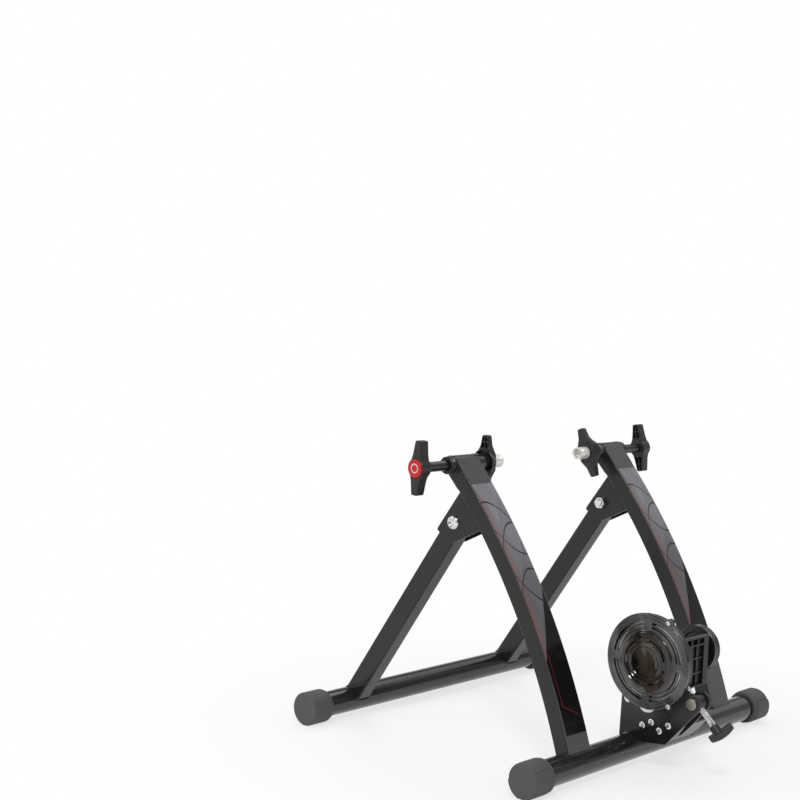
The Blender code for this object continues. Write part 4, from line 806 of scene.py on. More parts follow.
for s, n in SIDES:
    low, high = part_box(f"head_barrel_{n}")
    inner, outer = sorted((abs(low.x), abs(high.x)))
    r, bore = BARREL_RADIUS, 0.0090
    barrel = turned([(r - 0.0006, inner), (r, inner + 0.0006), (r, outer - 0.0006), (r - 0.0006, outer),
                     (bore + 0.0004, outer), (bore, outer - 0.0004), (bore, inner + 0.0004),
                     (bore + 0.0004, inner)])
    face = outer + 0.0001
    rim = 0.0121
    bush = turned([*raised(face, (rim - 0.0008, 0.0045), (rim, 0.0037), (rim, 0), (bore - 0.0003, 0),
                           (bore - 0.0003, -0.025), (0.0071, -0.025), (0.0071, 0.0037), (0.0079, 0.0045),
                           (0.0094, 0.0045), (0.0097, 0.0038), (0.0102, 0.0038), (0.0105, 0.0045))])
    sided(s, barrel, bush)
    piece(f"head_barrel_{n}_tube", barrel, PAINT, "frame", [f"head_barrel_{n}"], CLAMP_LINE)
    piece(f"head_bush_{n}_nylon", bush, nylon, "frame", [f"head_bush_{n}"], CLAMP_LINE)


# Axle clamps. A zinc-plated cup grips the axle nut, a rolled screw carries it through the
# barrel, a winged nut locks it, and a moulded T-handle with a glued red disc drives it.

HANDLE_HUB, HANDLE_REACH, HANDLE_LENGTH = 0.0140, 0.0373, 0.0175
NUT_HUB, NUT_REACH, NUT_LENGTH = 0.0190, 0.0380, 0.0130
WING_TIP, WING_ROOT, ROOT_OUT = 0.0050, 0.0079, 0.0042
PARKED = {"left": (4, 0), "right": (-10, -23)}  # degrees that each handle and lock nut stand turned

worn_steel = Finish("oiled_dark_steel", {"Metallic": 1.0}, "bright_steel")
worn_steel.one_grain(worn_steel.grain(220, 3), (0.070, 0.066, 0.062), (0.115, 0.109, 0.104), 0.16, 0.26, 0.00002)
ivory = Finish("ivory_bright_cup", {"Metallic": 0.35, "Coat Weight": 0.3}, "bright_steel")
ivory.one_grain(ivory.grain(260, 3, (0.2, 1, 1)), (0.72, 0.70, 0.66), (0.86, 0.84, 0.80), 0.16, 0.26, 0.00002)


def thread():
    """A rolled thread along local z, cut into a rod's own radius."""
    start = recipe("rolled_thread", {"Rod Radius": 0.004, "Rod Length": 0.1, "Pitch": 0.00125,
                                     "Thread Depth": 0.0005, "Sides": 32})
    turns = start.other("Rod Length") / start.other("Pitch")
    rod = start.node("GeometryNodeMeshCylinder", None,
                     {"Vertices": start.other("Sides"), "Side Segments": turns * 4,
                      "Radius": start.other("Rod Radius"), "Depth": start.other("Rod Length")})
    place = rod.node("GeometryNodeInputPosition")
    x, y, z = place.parts()
    angle = x.maths("ARCTAN2", y, x) / (2 * pi)
    climb = z / start.other("Pitch") - angle
    wave = climb.maths("PINGPONG", climb, 0.5) * 2
    outer = x.maths("GREATER_THAN", x.across(y), start.other("Rod Radius") * 0.9)
    share = 1 - wave * outer * start.other("Thread Depth") / start.other("Rod Radius")
    moved = place.node("ShaderNodeCombineXYZ", None, {0: x * share, 1: y * share, 2: z})
    shaped = rod.node("GeometryNodeSetPosition", None, {"Geometry": rod, "Position": moved})
    return served(start, shaped)


THREAD = thread()


def threaded(finish, radius, length, pitch, depth, sides):
    return grown(THREAD, path([(0, 0, 0)]), finish, Rod_Radius=radius, Rod_Length=length, Pitch=pitch,
                 Thread_Depth=depth, Sides=sides)


def wing_half(hub, reach, up):
    """Half the width of a wing at a height above the hub's middle."""
    share = (up - hub - ROOT_OUT) / (reach - hub - ROOT_OUT)
    return WING_ROOT + (WING_TIP - WING_ROOT) * share


def winged(hub, reach, thickness, start, soft):
    """Two tapered wings along local y that run into the hub with a hollow flank, their edges softened."""
    side = [(hub * 0.80, hub * 0.58, 0), (WING_ROOT, hub + ROOT_OUT, 0.009), (WING_TIP, reach, 0.0026)]
    corners = side + [(-x, y, r) for x, y, r in side[::-1]]
    corners += [(-x, -y, r) for x, y, r in side] + [(x, -y, r) for x, y, r in side[::-1]]
    return bevelled(sheet(eased(corners, 7), thickness, start), soft, 4)


def wing_pockets(hub, reach, start, end):
    """Cutters for the moulded pockets in a wing: two on each side, with a rib between."""
    pockets = []
    wall, rib = 0.0019, 0.0006
    middle_rib = (hub + reach) / 2
    for low, high in ((hub + 0.0012, middle_rib - rib), (middle_rib + rib, reach - wall)):
        lower, upper = (wing_half(hub, reach, up) - wall for up in (low, high))
        for up in (-1, 1):
            for across in (-1, 1):
                corners = [(across * rib, up * low), (across * lower, up * low), (across * upper, up * high),
                           (across * rib, up * high)]
                pockets.append(sheet(corners, end - start, start))
    return together(*pockets)


enamel = Finish("red_enamel", {"Specular IOR Level": 0.4}, "handle_red")
motif = abs(enamel.from_axis(flat(CLAMP_AXIS)) - 0.0058).step(0.0010, 0.0006)
speck = enamel.grain(700, 2)
red = speck.mix((0.46, 0.004, 0.006), (0.56, 0.008, 0.010))
enamel.feed(base_color=(motif * 0.85).mix(red, (0.70, 0.62, 0.60)), roughness=speck * 0.1 + 0.30)
enamel.relief(motif, 0.0001)

for s, n in SIDES:
    group = f"clamp_screw_group_{n}"
    low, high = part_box(f"cup_{n}")
    end, back = sorted((abs(low.x), abs(high.x)))
    cup = turned([(0.0082, back), (0.0092, back - 0.0010),
                  *raised(end, (0.0092, 0.0062), (0.0086, 0.0056), (0.0086, 0.0048), (0.0092, 0.0042),
                          (0.0092, 0.0008), (0.0086, 0), (0.0078, 0), (0.0068, 0.0012), (0.0068, 0.0090),
                          (0.0012, 0.0098)), (0.0012, back - 0.009), (0.0053, back - 0.009), (0.0053, back)],
                 sides=80)
    low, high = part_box(f"t_handle_{n}")
    inner = min(abs(low.x), abs(high.x))
    length = inner - back - 2 * FIT
    screw = threaded(worn_steel, 0.0070, length, 0.0015, 0.00022, 40)
    screw.transform(Matrix.Translation((0, 0, back + FIT + length / 2)))
    neck, tail = (turned([(0, end + start), (radius, end + start), (radius, start - past), (0, start - past)], 40)
                  for radius, start, end, past in ((0.0048, back, 0.004, 0.008), (0.0060, inner, 0.012, 0.002)))
    screw = together(screw, neck, tail)

    handle = winged(HANDLE_HUB - FIT, HANDLE_REACH, HANDLE_LENGTH - 0.0016, inner + 0.0008, 0.0019)
    handle = cut(handle, wing_pockets(HANDLE_HUB, HANDLE_REACH, inner - 0.001, inner + 0.0120))
    r = HANDLE_HUB
    hub = turned([(r - 0.0010, inner + HANDLE_LENGTH), (r, inner + HANDLE_LENGTH - 0.0010),
                  *raised(inner, (r, 0.0008), (r - 0.0008, 0), (0.0062, 0), (0.0062, 0.0135), (0.0001, 0.0135)),
                  (0.0001, inner + HANDLE_LENGTH)])
    disc_r = 0.0124
    cap = inner + HANDLE_LENGTH
    disc = turned([*raised(cap, (0, 0.0015), (disc_r - 0.0007, 0.0014), (disc_r - 0.0002, 0.0011), (disc_r, 0.0007),
                           (disc_r, -0.0002), (0, -0.0002))])
    low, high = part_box(f"lock_nut_{n}")
    lock = min(abs(low.x), abs(high.x))
    nut = winged(NUT_HUB - FIT, NUT_REACH, NUT_LENGTH - 0.003, lock + 0.0010, 0.0018)
    nut = cut(nut, wing_pockets(NUT_HUB, NUT_REACH, lock + 0.0040, lock + 0.02),
              cylinder(NUT_HUB - 0.0020, lock + 0.0062, lock + 0.03), cylinder(0.0145, lock - 0.01, lock + 0.03))
    r = NUT_HUB
    collar = turned([(r - 0.0008, lock + NUT_LENGTH), (r, lock + NUT_LENGTH - 0.0008), (r - 0.0008, lock + 0.0060),
                     (0.0150, lock + 0.0010), (0.0142, lock), (0.0073, lock), (0.0073, lock + NUT_LENGTH),
                     (0.0112, lock + NUT_LENGTH), (0.0114, lock + 0.0046), (r - 0.0024, lock + 0.0060),
                     (r - 0.0020, lock + NUT_LENGTH)])
    handle, nut = together(handle, hub), together(nut, collar)
    sided(s, cup, screw, handle, disc, nut)
    handle_turn, nut_turn = PARKED[n]
    handle.transform(Matrix.Rotation(radians(handle_turn), 4, "Z"))
    nut.transform(Matrix.Rotation(radians(nut_turn), 4, "Z"))
    piece(f"cup_{n}_turned", cup, ivory, f"clamp_cup_{n}", [f"cup_{n}"], CLAMP_LINE)
    piece(f"clamp_screw_{n}_rolled", screw, worn_steel, group, [f"clamp_screw_{n}"], CLAMP_LINE, sharp=50)
    piece(f"t_handle_{n}_moulded", handle, nylon, group, [f"t_handle_{n}"], CLAMP_LINE)
    piece(f"handle_disc_{n}_enamel", disc, enamel, group, [f"handle_disc_{n}"], CLAMP_LINE)
    piece(f"lock_nut_{n}_moulded", nut, nylon, f"wing_nut_{n}", [f"lock_nut_{n}"], CLAMP_LINE)


# Unit bracket. Two cheeks and a short rib of 2.5 mm plate, joined by a web that is bent round the
# rear floor tube and welded to it. The near cheek's arm is joggled inwards, and every hole is
# punched before the frame is painted.

UNIT_AXIS = flat(middle("roller_shaft"))
NEAR_CHEEK = -0.0515
FAR_CHEEK = 0.0190
RIB_FACE = -0.0280
JOGGLE = 0.0010


def from_tube(ahead, up):
    """A side-view point measured from the rear tube's axis."""
    return flat(REAR_TUBE) + Vector((ahead, up))


def all_from_tube(*corners):
    """Corners measured from the rear tube's axis, each with the radius that eases it if it has one."""
    return [(*from_tube(*corner[:2]), *corner[2:]) for corner in corners]


TILT_PIVOT = from_tube(-0.0265, 0.0666)
TRUNNION_AXIS = from_tube(-0.0955, 0.0791)
STOP_SCREW = from_tube(0.0035, 0.0666)
PUNCHED_SCREWS = all_from_tube((-0.0215, 0.0346), (-0.0355, 0.0416), (-0.0485, 0.0326), (-0.0625, 0.0426))

ear = circle(TRUNNION_AXIS, 0.0135, 56)
near_cheek = hull(ear + all_from_tube((0.0165, 0.0122), (-0.0315, 0.0122), (-0.0575, 0.0156), (-0.1045, 0.0696),
                                      (0.0115, 0.0826), (0.0145, 0.0766)))
far_cheek = eased(all_from_tube((0.0165, 0.0122, 0), (0.0145, 0.0786, 0.004), (-0.0065, 0.0781, 0.004),
                                (-0.0385, 0.0781, 0.004), (-0.0700, 0.0520, 0.004), (-0.0775, 0.0426, 0),
                                (-0.0575, 0.0156, 0), (-0.0315, 0.0122, 0)))
adjuster_rib = hull(ear + all_from_tube((-0.0640, 0.0235), (-0.0790, 0.0390)))
web = all_from_tube((0.0135, 0.0186), (0.0135, 0.0211), (-0.0580, 0.0211), (-0.0760, 0.0440), (-0.0780, 0.0424),
                    (-0.0590, 0.0186))
tilt_hole, pin_hole = circle(TILT_PIVOT, BOLT_HOLE, 40), circle(TRUNNION_AXIS, 0.0063, 40)
screw_holes = [circle(spot, 0.0028, 20) for spot in (*PUNCHED_SCREWS, STOP_SCREW)]
bracket = joined(sheet(near_cheek, PLATE, NEAR_CHEEK, [tilt_hole, pin_hole, *screw_holes]),
                 sheet(web, FAR_CHEEK - NEAR_CHEEK - PLATE, NEAR_CHEEK + PLATE / 2),
                 sheet(far_cheek, PLATE, FAR_CHEEK - PLATE, [tilt_hole]),
                 sheet(adjuster_rib, PLATE, RIB_FACE, [pin_hole]))
step_line = eased(all_from_tube((-0.0487, 0.0650, 0.010), (-0.0745, 0.0436, 0.010), (-0.0560, 0.0180, 0),
                                (-0.0560, 0.0050, 0), (-0.1500, 0.0050, 0), (-0.1500, 0.1000, 0),
                                (-0.0487, 0.1000, 0)), 8)
bracket = cut(bracket, sheet(step_line, 0.002, NEAR_CHEEK - 0.002 + JOGGLE),
              cylinder(TUBE_RADIUS + FIT, -0.2, 0.2, flat(REAR_TUBE)))
bracket = bevelled(bracket, 0.0004, 2)
plate_paint = Finish("black_bracket_coat", {"IOR": 1.36}, "frame_paint")
# Painted shade and light: the plates are painted near black low down by the floor tube and dark grey higher up,
# where light falls on them; the same mask makes the low parts glossier.
painted_light_rise = plate_paint.place.parts()[2].step(REAR_TUBE.z + 0.030, REAR_TUBE.z + 0.060)
coat_peel = plate_paint.grain(*ORANGE_PEEL)
plate_tint_painted_shade = (painted_light_rise * 0.7 + plate_paint.grain(14, 3) * 0.3).mix((0.004, 0.004, 0.005), 0.056)
plate_paint.feed(base_color=plate_tint_painted_shade, roughness=painted_light_rise * 0.10 + coat_peel * 0.04 + 0.09)
plate_paint.relief(coat_peel, 0.00005)
piece("unit_bracket_plates", bracket, plate_paint, "frame", ["unit_bracket"])


# Bracket fasteners. Zinc-plated socket screws with crowned heads, and the tilt bolt with its
# washer and nut. Their heads stand out on the near cheek.

def crowned_screws():
    """A screw at each vertex, its crowned head with a hexagon socket towards local -z."""
    start = recipe("crowned_screws", {"Head Radius": 0.0045, "Head Height": 0.0028, "Crown": 0.0009,
                                      "Socket Radius": 0.002, "Shank Radius": 0.0025, "Shank Length": 0.008,
                                      "Sides": 36})
    radius, height = start.other("Head Radius"), start.other("Head Height")
    head = start.node("GeometryNodeMeshCylinder", None,
                      {"Vertices": start.other("Sides"), "Side Segments": 2, "Fill Segments": 6, "Radius": radius,
                       "Depth": height})
    place = head.node("GeometryNodeInputPosition")
    x, y, z = place.parts()
    share = (x * x + y * y) / (radius * radius)
    outer = z.maths("LESS_THAN", z, height * -0.45)
    crown = outer * share * share * start.other("Crown")
    moved = place.node("ShaderNodeCombineXYZ", None, {0: x, 1: y, 2: z + crown - height * 0.5})
    head = head.node("GeometryNodeSetPosition", None, {"Geometry": head, "Position": moved})
    socket = head.node("GeometryNodeMeshCylinder", None,
                       {"Vertices": 6, "Radius": start.other("Socket Radius"), "Depth": height})
    down = socket.node("ShaderNodeCombineXYZ", None, {0: 0.0, 1: 0.0, 2: height * -1})
    socket = socket.node("GeometryNodeTransform", None, {"Geometry": socket, "Translation": down})
    head = head.node("GeometryNodeMeshBoolean", {"operation": "DIFFERENCE"}, {"Mesh 1": head, "Mesh 2": socket})
    shank = head.node("GeometryNodeMeshCylinder", None,
                      {"Vertices": 20, "Radius": start.other("Shank Radius"), "Depth": start.other("Shank Length")})
    along = shank.node("ShaderNodeCombineXYZ", None,
                       {0: 0.0, 1: 0.0, 2: start.other("Shank Length") * 0.5 - 0.0002})
    shank = shank.node("GeometryNodeTransform", None, {"Geometry": shank, "Translation": along})
    screw = head.node("GeometryNodeJoinGeometry", None, {0: [head, shank]})
    return served(start, screw.node("GeometryNodeInstanceOnPoints", None, {"Points": start, "Instance": screw}))


CROWNED_SCREWS = crowned_screws()


def screwed(places, height, **sizes):
    """Screws at side-view places, their heads seated at one height across the trainer."""
    spots = bpy.data.meshes.new("spots")
    spots.from_pydata([(*place, height) for place in places], [], [])
    return grown(CROWNED_SCREWS, spots, zinc, **sizes)


cheek_face = NEAR_CHEEK - FIT
piece("bracket_screws_socket", screwed(PUNCHED_SCREWS, cheek_face), zinc, "frame",
      [f"bracket_screw_{number}" for number in range(1, 5)])
piece("stop_screw_domed", screwed([STOP_SCREW], cheek_face, Head_Radius=0.0060, Head_Height=0.0026, Crown=0.0012,
                                  Socket_Radius=0.0024), zinc, "frame", ["stop_screw"])
bolt_end = FAR_CHEEK + FIT + 0.0085
washer = cheek_face - 0.0011
tilt_bolt = turned([*raised(cheek_face, (0, -0.0026), (0.0050, -0.00255), (0.0078, -0.0022), (0.0094, -0.0016)),
                    (0.0098, washer), (0.0133, washer), (0.0140, washer + 0.0005), (0.0140, cheek_face),
                    (0.0050, cheek_face), (0.0050, bolt_end - 0.0007), (0.0043, bolt_end), (0, bolt_end)], 80)
piece("cradle_bolt_domed", tilt_bolt, zinc, "frame", ["cradle_bolt"], (0, *TILT_PIVOT))
piece("cradle_nut_hexagon", hexagon_nut(0.0095, BOLT_HOLE, FAR_CHEEK + FIT, FAR_CHEEK + FIT + 0.0065), zinc,
      "frame", ["cradle_nut"], (0, *TILT_PIVOT))


# Trunnion. A turned brass cross pin between the near cheek and the rib, tapped through for the
# adjuster; only its riveted head shows bright, the body between the plates is blackened.

ADJUSTER_X = (NEAR_CHEEK + PLATE + RIB_FACE) / 2
ROD_TILT = radians(44)
ON_ADJUSTER = Matrix.Rotation(ROD_TILT, 4, "Z") @ Matrix.Rotation(pi / 2, 4, "Y")

brass = Finish("tumbled_brass", {"Metallic": 1.0}, "trunnion_brass")
tumble = brass.grain(500, 3)
bright_end = brass.place.parts()[0].step(NEAR_CHEEK + 0.0022, NEAR_CHEEK + 0.0012)
tint = tumble.mix((0.33, 0.30, 0.24), (0.46, 0.42, 0.34))
brass.feed(base_color=bright_end.mix((0.05, 0.048, 0.045), tint), roughness=tumble * 0.2 + 0.26)
brass.relief(tumble, 0.00003)

pin_head = NEAR_CHEEK - FIT
pin = turned([(0, RIB_FACE + PLATE + 0.003), (0.0054, RIB_FACE + PLATE + 0.003),
              (0.0060, RIB_FACE + PLATE + 0.0024), (0.0060, RIB_FACE - FIT), (0.0105, RIB_FACE - FIT),
              (0.0105, NEAR_CHEEK + PLATE + FIT), (0.0060, NEAR_CHEEK + PLATE + FIT),
              (0.0060, NEAR_CHEEK + JOGGLE - FIT), (0.0080, NEAR_CHEEK + JOGGLE - FIT),
              *raised(pin_head, (0.0080, -0.0014), (0.0074, -0.0022), (0.0060, -0.0025), (0, -0.0025))], 72)
tapping = cylinder(0.0043, -0.03, 0.03, sides=40)
tapping.transform(Matrix.Translation((0, 0, ADJUSTER_X)) @ ON_ADJUSTER)
piece("trunnion_turned", cut(pin, tapping), brass, "frame", ["trunnion"], (0, *TRUNNION_AXIS))


# Cradle. One pressure die casting: a back wall with square pockets between its ribs, two arms
# that carry the bearings, a hub on the tilt bolt and a pad for the adjuster. Black, satin, with
# a faint casting skin.

castmetal = Finish("black_casting", {"IOR": 1.5, "Specular IOR Level": 0.3}, "casting")
pits = castmetal.grain(900, 3)
castmetal.feed(base_color=castmetal.grain(30, 3).mix((0.007, 0.007, 0.008), (0.013, 0.013, 0.014)),
               roughness=castmetal.grain(120, 2) * 0.14 + 0.30)
castmetal.relief(pits, 0.00010)

ARM = 0.0100
LEFT_ARM = NEAR_CHEEK + PLATE + 0.0005
RIGHT_ARM = 0.0255
BEARING_SEAT = 0.0133
CASTING_RIB = 0.0022
WALL_SKIN = 0.0028
POCKET_ROWS = (0.26, 0.31, 0.28, 0.15)
POCKET_COLUMNS = 4
RIB_SET_BACK = 0.0018
wall_front, wall_rear = UNIT_AXIS.x - 0.0210, UNIT_AXIS.x - 0.0280
wall_top, wall_bottom = UNIT_AXIS.y + 0.0263, UNIT_AXIS.y - 0.0417


def block(low, high, start, end):
    """A block between two side-view corners, from start to end across the trainer."""
    return sheet([(low[0], low[1]), (high[0], low[1]), (high[0], high[1]), (low[0], high[1])], end - start, start)


pockets = []
room = wall_top - wall_bottom - CASTING_RIB
column_pitch = (RIGHT_ARM - LEFT_ARM - ARM - CASTING_RIB) / POCKET_COLUMNS
pocket_start = LEFT_ARM + ARM + CASTING_RIB
first_floor = pocket_floor = wall_bottom + CASTING_RIB
for share in POCKET_ROWS:
    ceiling = pocket_floor + room * share - CASTING_RIB
    for column in range(POCKET_COLUMNS):
        start = pocket_start + column * column_pitch
        pockets.append(block((wall_rear - 0.01, pocket_floor), (wall_front - WALL_SKIN, ceiling), start,
                             start + column_pitch - CASTING_RIB))
    pocket_floor = ceiling + CASTING_RIB
lower_field = block((wall_rear - 0.01, first_floor),
                    (wall_rear + RIB_SET_BACK, first_floor + room * (1 - POCKET_ROWS[-1]) - CASTING_RIB),
                    pocket_start, pocket_start + POCKET_COLUMNS * column_pitch - CASTING_RIB)
wall = cut(block((wall_rear, wall_bottom), (wall_front, wall_top), LEFT_ARM + 0.004, RIGHT_ARM + ARM - 0.001),
           together(*pockets), lower_field)
arm_end = circle(UNIT_AXIS, 0.0170, 72)
arm_back = [(wall_rear + 0.0006, wall_bottom + 0.0006), (wall_rear + 0.0006, wall_top - 0.0006)]
hub_end = FAR_CHEEK - PLATE - FIT
wall_foot = hull([(wall_front - 0.0006, wall_bottom + 0.004), (wall_rear + 0.0012, wall_bottom + 0.0012),
                  TILT_PIVOT + Vector((0.002, 0.006)), TILT_PIVOT + Vector((-0.006, -0.002))])
pad = cylinder(0.0085, 0, 0.010, sides=48)
UP_ROD = Vector((cos(ROD_TILT), sin(ROD_TILT)))
THRUST = (TILT_PIVOT - TRUNNION_AXIS).dot(UP_ROD) - 0.0030
pad.transform(Matrix.Translation((*(TRUNNION_AXIS + UP_ROD * THRUST), ADJUSTER_X)) @ ON_ADJUSTER)
casting = joined(wall, sheet(hull(arm_end + arm_back + circle(TILT_PIVOT, 0.0110, 56)), ARM, LEFT_ARM),
                 sheet(hull(arm_end + arm_back), ARM, RIGHT_ARM),
                 sheet(wall_foot, hub_end - LEFT_ARM - 0.003, LEFT_ARM + 0.002),
                 cylinder(0.0105, LEFT_ARM + 0.001, hub_end, TILT_PIVOT, 56), pad)
seats = [cylinder(BEARING_SEAT, arm - 0.01, arm + ARM + 0.01, UNIT_AXIS, 72) for arm in (LEFT_ARM, RIGHT_ARM)]
casting = cut(casting, *seats, cylinder(BOLT_HOLE, LEFT_ARM - 0.01, hub_end + 0.01, TILT_PIVOT, 40))
casting = bevelled(casting, 0.0005, 2)
piece("cradle_casting", casting, castmetal, "unit", ["cradle"])

for n, start in (("left", LEFT_ARM + 0.0010), ("right", RIGHT_ARM + 0.0010)):
    end = start + 0.0080
    bearing = turned([(0.0126, end), (0.0130, end - 0.0004),
                      *raised(start, (0.0130, 0.0004), (0.0126, 0), (0.0110, 0), (0.0107, 0.0006), (0.0078, 0.0006),
                              (0.0075, 0), (0.0057, 0), (0.0053, 0.0004)), (0.0053, end - 0.0004), (0.0057, end),
                      (0.0075, end), (0.0078, end - 0.0006), (0.0107, end - 0.0006), (0.0110, end)], 72)
    piece(f"bearing_{n}_shielded", bearing, zinc, "unit", [f"bearing_{n}"], (0, *UNIT_AXIS))


# Brake housing. A moulded nylon drum bolted through its boss to the left arm, open towards the
# cover, with a screw lug outside its rim at each of two places.

HOUSING_RADIUS = 0.0625
HOUSING_BACK = -0.0555
HOUSING_FRONT = HOUSING_BACK - 0.0135
COVER_RADIUS = HOUSING_RADIUS + FIT + 0.0016
COVER_LIP = HOUSING_FRONT - FIT - 0.0020
SKIRT_END = COVER_LIP + 0.0050
LUG_FACE = COVER_LIP + 0.0012
LUG_HOLE = 0.0018
LUG_SPOTS = [Vector((cos(angle), sin(angle))) * COVER_RADIUS for angle in (radians(118), radians(-124))]


def lug(spot, inner, start, end):
    """A round lug on the rim, cleared inside the given radius."""
    solid = sheet(hull(circle(spot, 0.0052, 40) + circle(spot * 0.93, 0.0052, 40)), end - start, start)
    return cut(solid, cylinder(inner, start - 0.01, end + 0.01))


lug_start = SKIRT_END + FIT
drum = turned([(0.0240, LEFT_ARM - FIT), (0.0240, HOUSING_BACK - 0.0012), (0.0252, HOUSING_BACK),
               *[(radius, height) for height, radius in arc((HOUSING_BACK - 0.003, HOUSING_RADIUS - 0.003), 0.003,
                                                            0, pi / 2, 6)], (HOUSING_RADIUS, HOUSING_FRONT),
               (HOUSING_RADIUS - 0.0022, HOUSING_FRONT), (HOUSING_RADIUS - 0.0022, HOUSING_BACK - 0.0022),
               (0.0145, HOUSING_BACK - 0.0022), (0.0145, LEFT_ARM - FIT)], sides=160)
drum = joined(drum, *[lug(spot, HOUSING_RADIUS - 0.0011, lug_start, lug_start + 0.0035) for spot in LUG_SPOTS])
drum = cut(drum, *[cylinder(LUG_HOLE, lug_start - 0.01, lug_start + 0.01, spot, 24) for spot in LUG_SPOTS])
piece("housing_drum", drum, nylon, "unit", ["housing"], (0, *UNIT_AXIS))


# Brake cover. A thin gloss moulding: a flat ring with two rows of curved slots, then a low dome
# with four turned grooves and a third row. Two screws hold it to the housing's lugs.

gloss = Finish("gloss_black_plastic", {"Coat Weight": 0.35, "Coat Roughness": 0.03}, "cover_plastic")
# Painted reflection: one noise paints brown and black reflection patches into the dome and grey ones into the ring,
# and also varies the roughness.
haze_and_painted_reflection = gloss.grain(25, 3)
ring_share = gloss.from_axis(UNIT_AXIS).step(0.0405, 0.0425)
dome_painted_reflection = haze_and_painted_reflection.step(0.40, 0.62).mix(0.004, (0.046, 0.036, 0.027))
ring_tint_painted_reflection = haze_and_painted_reflection.step(0.35, 0.65).mix((0.016, 0.016, 0.015), (0.075, 0.075, 0.073))
gloss.feed(base_color=ring_share.mix(dome_painted_reflection, ring_tint_painted_reflection), roughness=haze_and_painted_reflection * 0.04 + ring_share * 0.07 + 0.04)
gloss.relief(gloss.grain(40, 1), 0.0018)


def slot_ring():
    """Cutters for one ring of equal curved slots with a spoke between each two."""
    start = recipe("slot_ring", {"Ring Radius": 0.05, "Slot Width": 0.003, "Spoke": 0.011, "Slots": 4,
                                 "Cut Depth": 0.02})
    pitch = 2 * pi / start.other("Slots")
    gap = start.other("Spoke") / start.other("Ring Radius")
    line = start.node("GeometryNodeCurveArc", None,
                      {"Resolution": 28, "Radius": start.other("Ring Radius"), "Start Angle": gap * 0.5,
                       "Sweep Angle": pitch - gap})
    line = line.node("GeometryNodeSetCurveNormal", {"mode": "Z_UP"}, {0: line})
    section = line.node("GeometryNodeCurvePrimitiveQuadrilateral", None,
                        {"Width": start.other("Slot Width"), "Height": start.other("Cut Depth")})
    slot = line.node("GeometryNodeCurveToMesh", None, {"Curve": line, "Profile Curve": section, "Fill Caps": True})
    spots = slot.node("GeometryNodeMeshLine", None, {"Count": start.other("Slots"), "Offset": (0.0, 0.0, 0.0)})
    turn = slot.node("GeometryNodeInputIndex") * pitch
    turn = turn.node("ShaderNodeCombineXYZ", None, {0: 0.0, 1: 0.0, 2: turn})
    turn = turn.node("FunctionNodeEulerToRotation", None, {0: turn})
    return served(start, slot.node("GeometryNodeInstanceOnPoints", None,
                                   {"Points": spots, "Instance": slot, "Rotation": turn}))


SLOT_RING = slot_ring()


def grooved(radius, height):
    """The profile points of a turned groove in the dome."""
    return [(radius - 0.0012, height), (radius - 0.0006, height + 0.0009), (radius + 0.0004, height + 0.0009),
            (radius + 0.0012, height + 0.0001)]


lip = COVER_LIP
outside = [(0, lip - 0.0055), *grooved(0.0210, lip - 0.0053), *grooved(0.0270, lip - 0.0049),
           *grooved(0.0330, lip - 0.0043), *raised(lip, (0.0384, -0.0034), (0.0392, -0.0030), (0.0400, -0.0014),
                                                   (0.0412, -0.0005), (0.0428, 0), (COVER_RADIUS - 0.0060, 0),
                                                   (COVER_RADIUS - 0.0055, 0.0003), (COVER_RADIUS - 0.0050, 0)),
           *[(radius, height) for height, radius in arc((lip + 0.0018, COVER_RADIUS - 0.0018), 0.0018,
                                                        pi, pi / 2, 5)], (COVER_RADIUS, SKIRT_END)]
inner_lip = lip + 0.0020
inside = [(HOUSING_RADIUS + FIT, SKIRT_END), *raised(inner_lip, (HOUSING_RADIUS + FIT, 0),
                                                     (COVER_RADIUS - 0.008, 0), (0.0412, -0.0011),
                                                     (0.0382, -0.0033), (0.0226, -0.0055), (0, -0.0055))]
shell = turned(outside + inside, sides=180)
shell = joined(shell, *[lug(spot, HOUSING_RADIUS + FIT + 0.0006, LUG_FACE, SKIRT_END - 0.0001)
                        for spot in LUG_SPOTS])
slots = together(*[grown(SLOT_RING, path([]), gloss, Ring_Radius=radius, Slot_Width=width)
                   for radius, width in ((0.0522, 0.0030), (0.0468, 0.0024), (0.0300, 0.0026))])
slots.transform(Matrix.Translation((0, 0, lip)))
vents = [cylinder(0.0011, lip - 0.02, lip + 0.02, (radius * cos(angle), radius * sin(angle)), 24)
         for radius, angle in ((0.0098, radians(131)), (0.0113, radians(-130)), (0.0236, radians(-132)))]
screw_seats = [cylinder(radius, lip - 0.01, end, spot, sides)
               for radius, end, sides in ((LUG_HOLE, SKIRT_END + 0.01, 24), (0.0037, LUG_FACE, 36))
               for spot in LUG_SPOTS]
shell = cut(shell, slots, *vents, *screw_seats)
piece("cover_shell", shell, gloss, "unit", ["cover"], (0, *UNIT_AXIS), sharp=28)

lug_screws = screwed([UNIT_AXIS + spot for spot in LUG_SPOTS], LUG_FACE - FIT, Head_Radius=0.0034,
                     Head_Height=0.0022, Socket_Radius=0.0015, Shank_Radius=0.0015, Shank_Length=0.0078)
piece("cover_screws_socket", lug_screws, zinc, "unit", ["cover_screw_upper", "cover_screw_lower"])


# Magnet plate. Nickel-plated magnets on a ring inside the housing, out of sight; the CAD solid
# stays and is given its finish.

magnet = Finish("nickel_magnets", {"Metallic": 1.0})
magnet.feed(base_color=magnet.grain(200, 2).mix(0.30, (0.42, 0.42, 0.41)),
            roughness=magnet.grain(90, 2) * 0.2 + 0.3)
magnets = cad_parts["magnet_plate"].data.materials
magnets.clear()
magnets.append(magnet.material)


# Rotor. The shaft carries the aluminium roller between the arms, the aluminium brake disc in
# the housing and a grooved iron flywheel, held by one nut. All are turned on a lathe.

alloy = Finish("turned_aluminium", {"Metallic": 1.0}, "roller_alloy")
alloy.one_grain(alloy.grain(1400, 1, (1, 0.02, 0.02)), (0.60, 0.61, 0.62), (0.72, 0.73, 0.74), 0.12, 0.26, 0.00002)

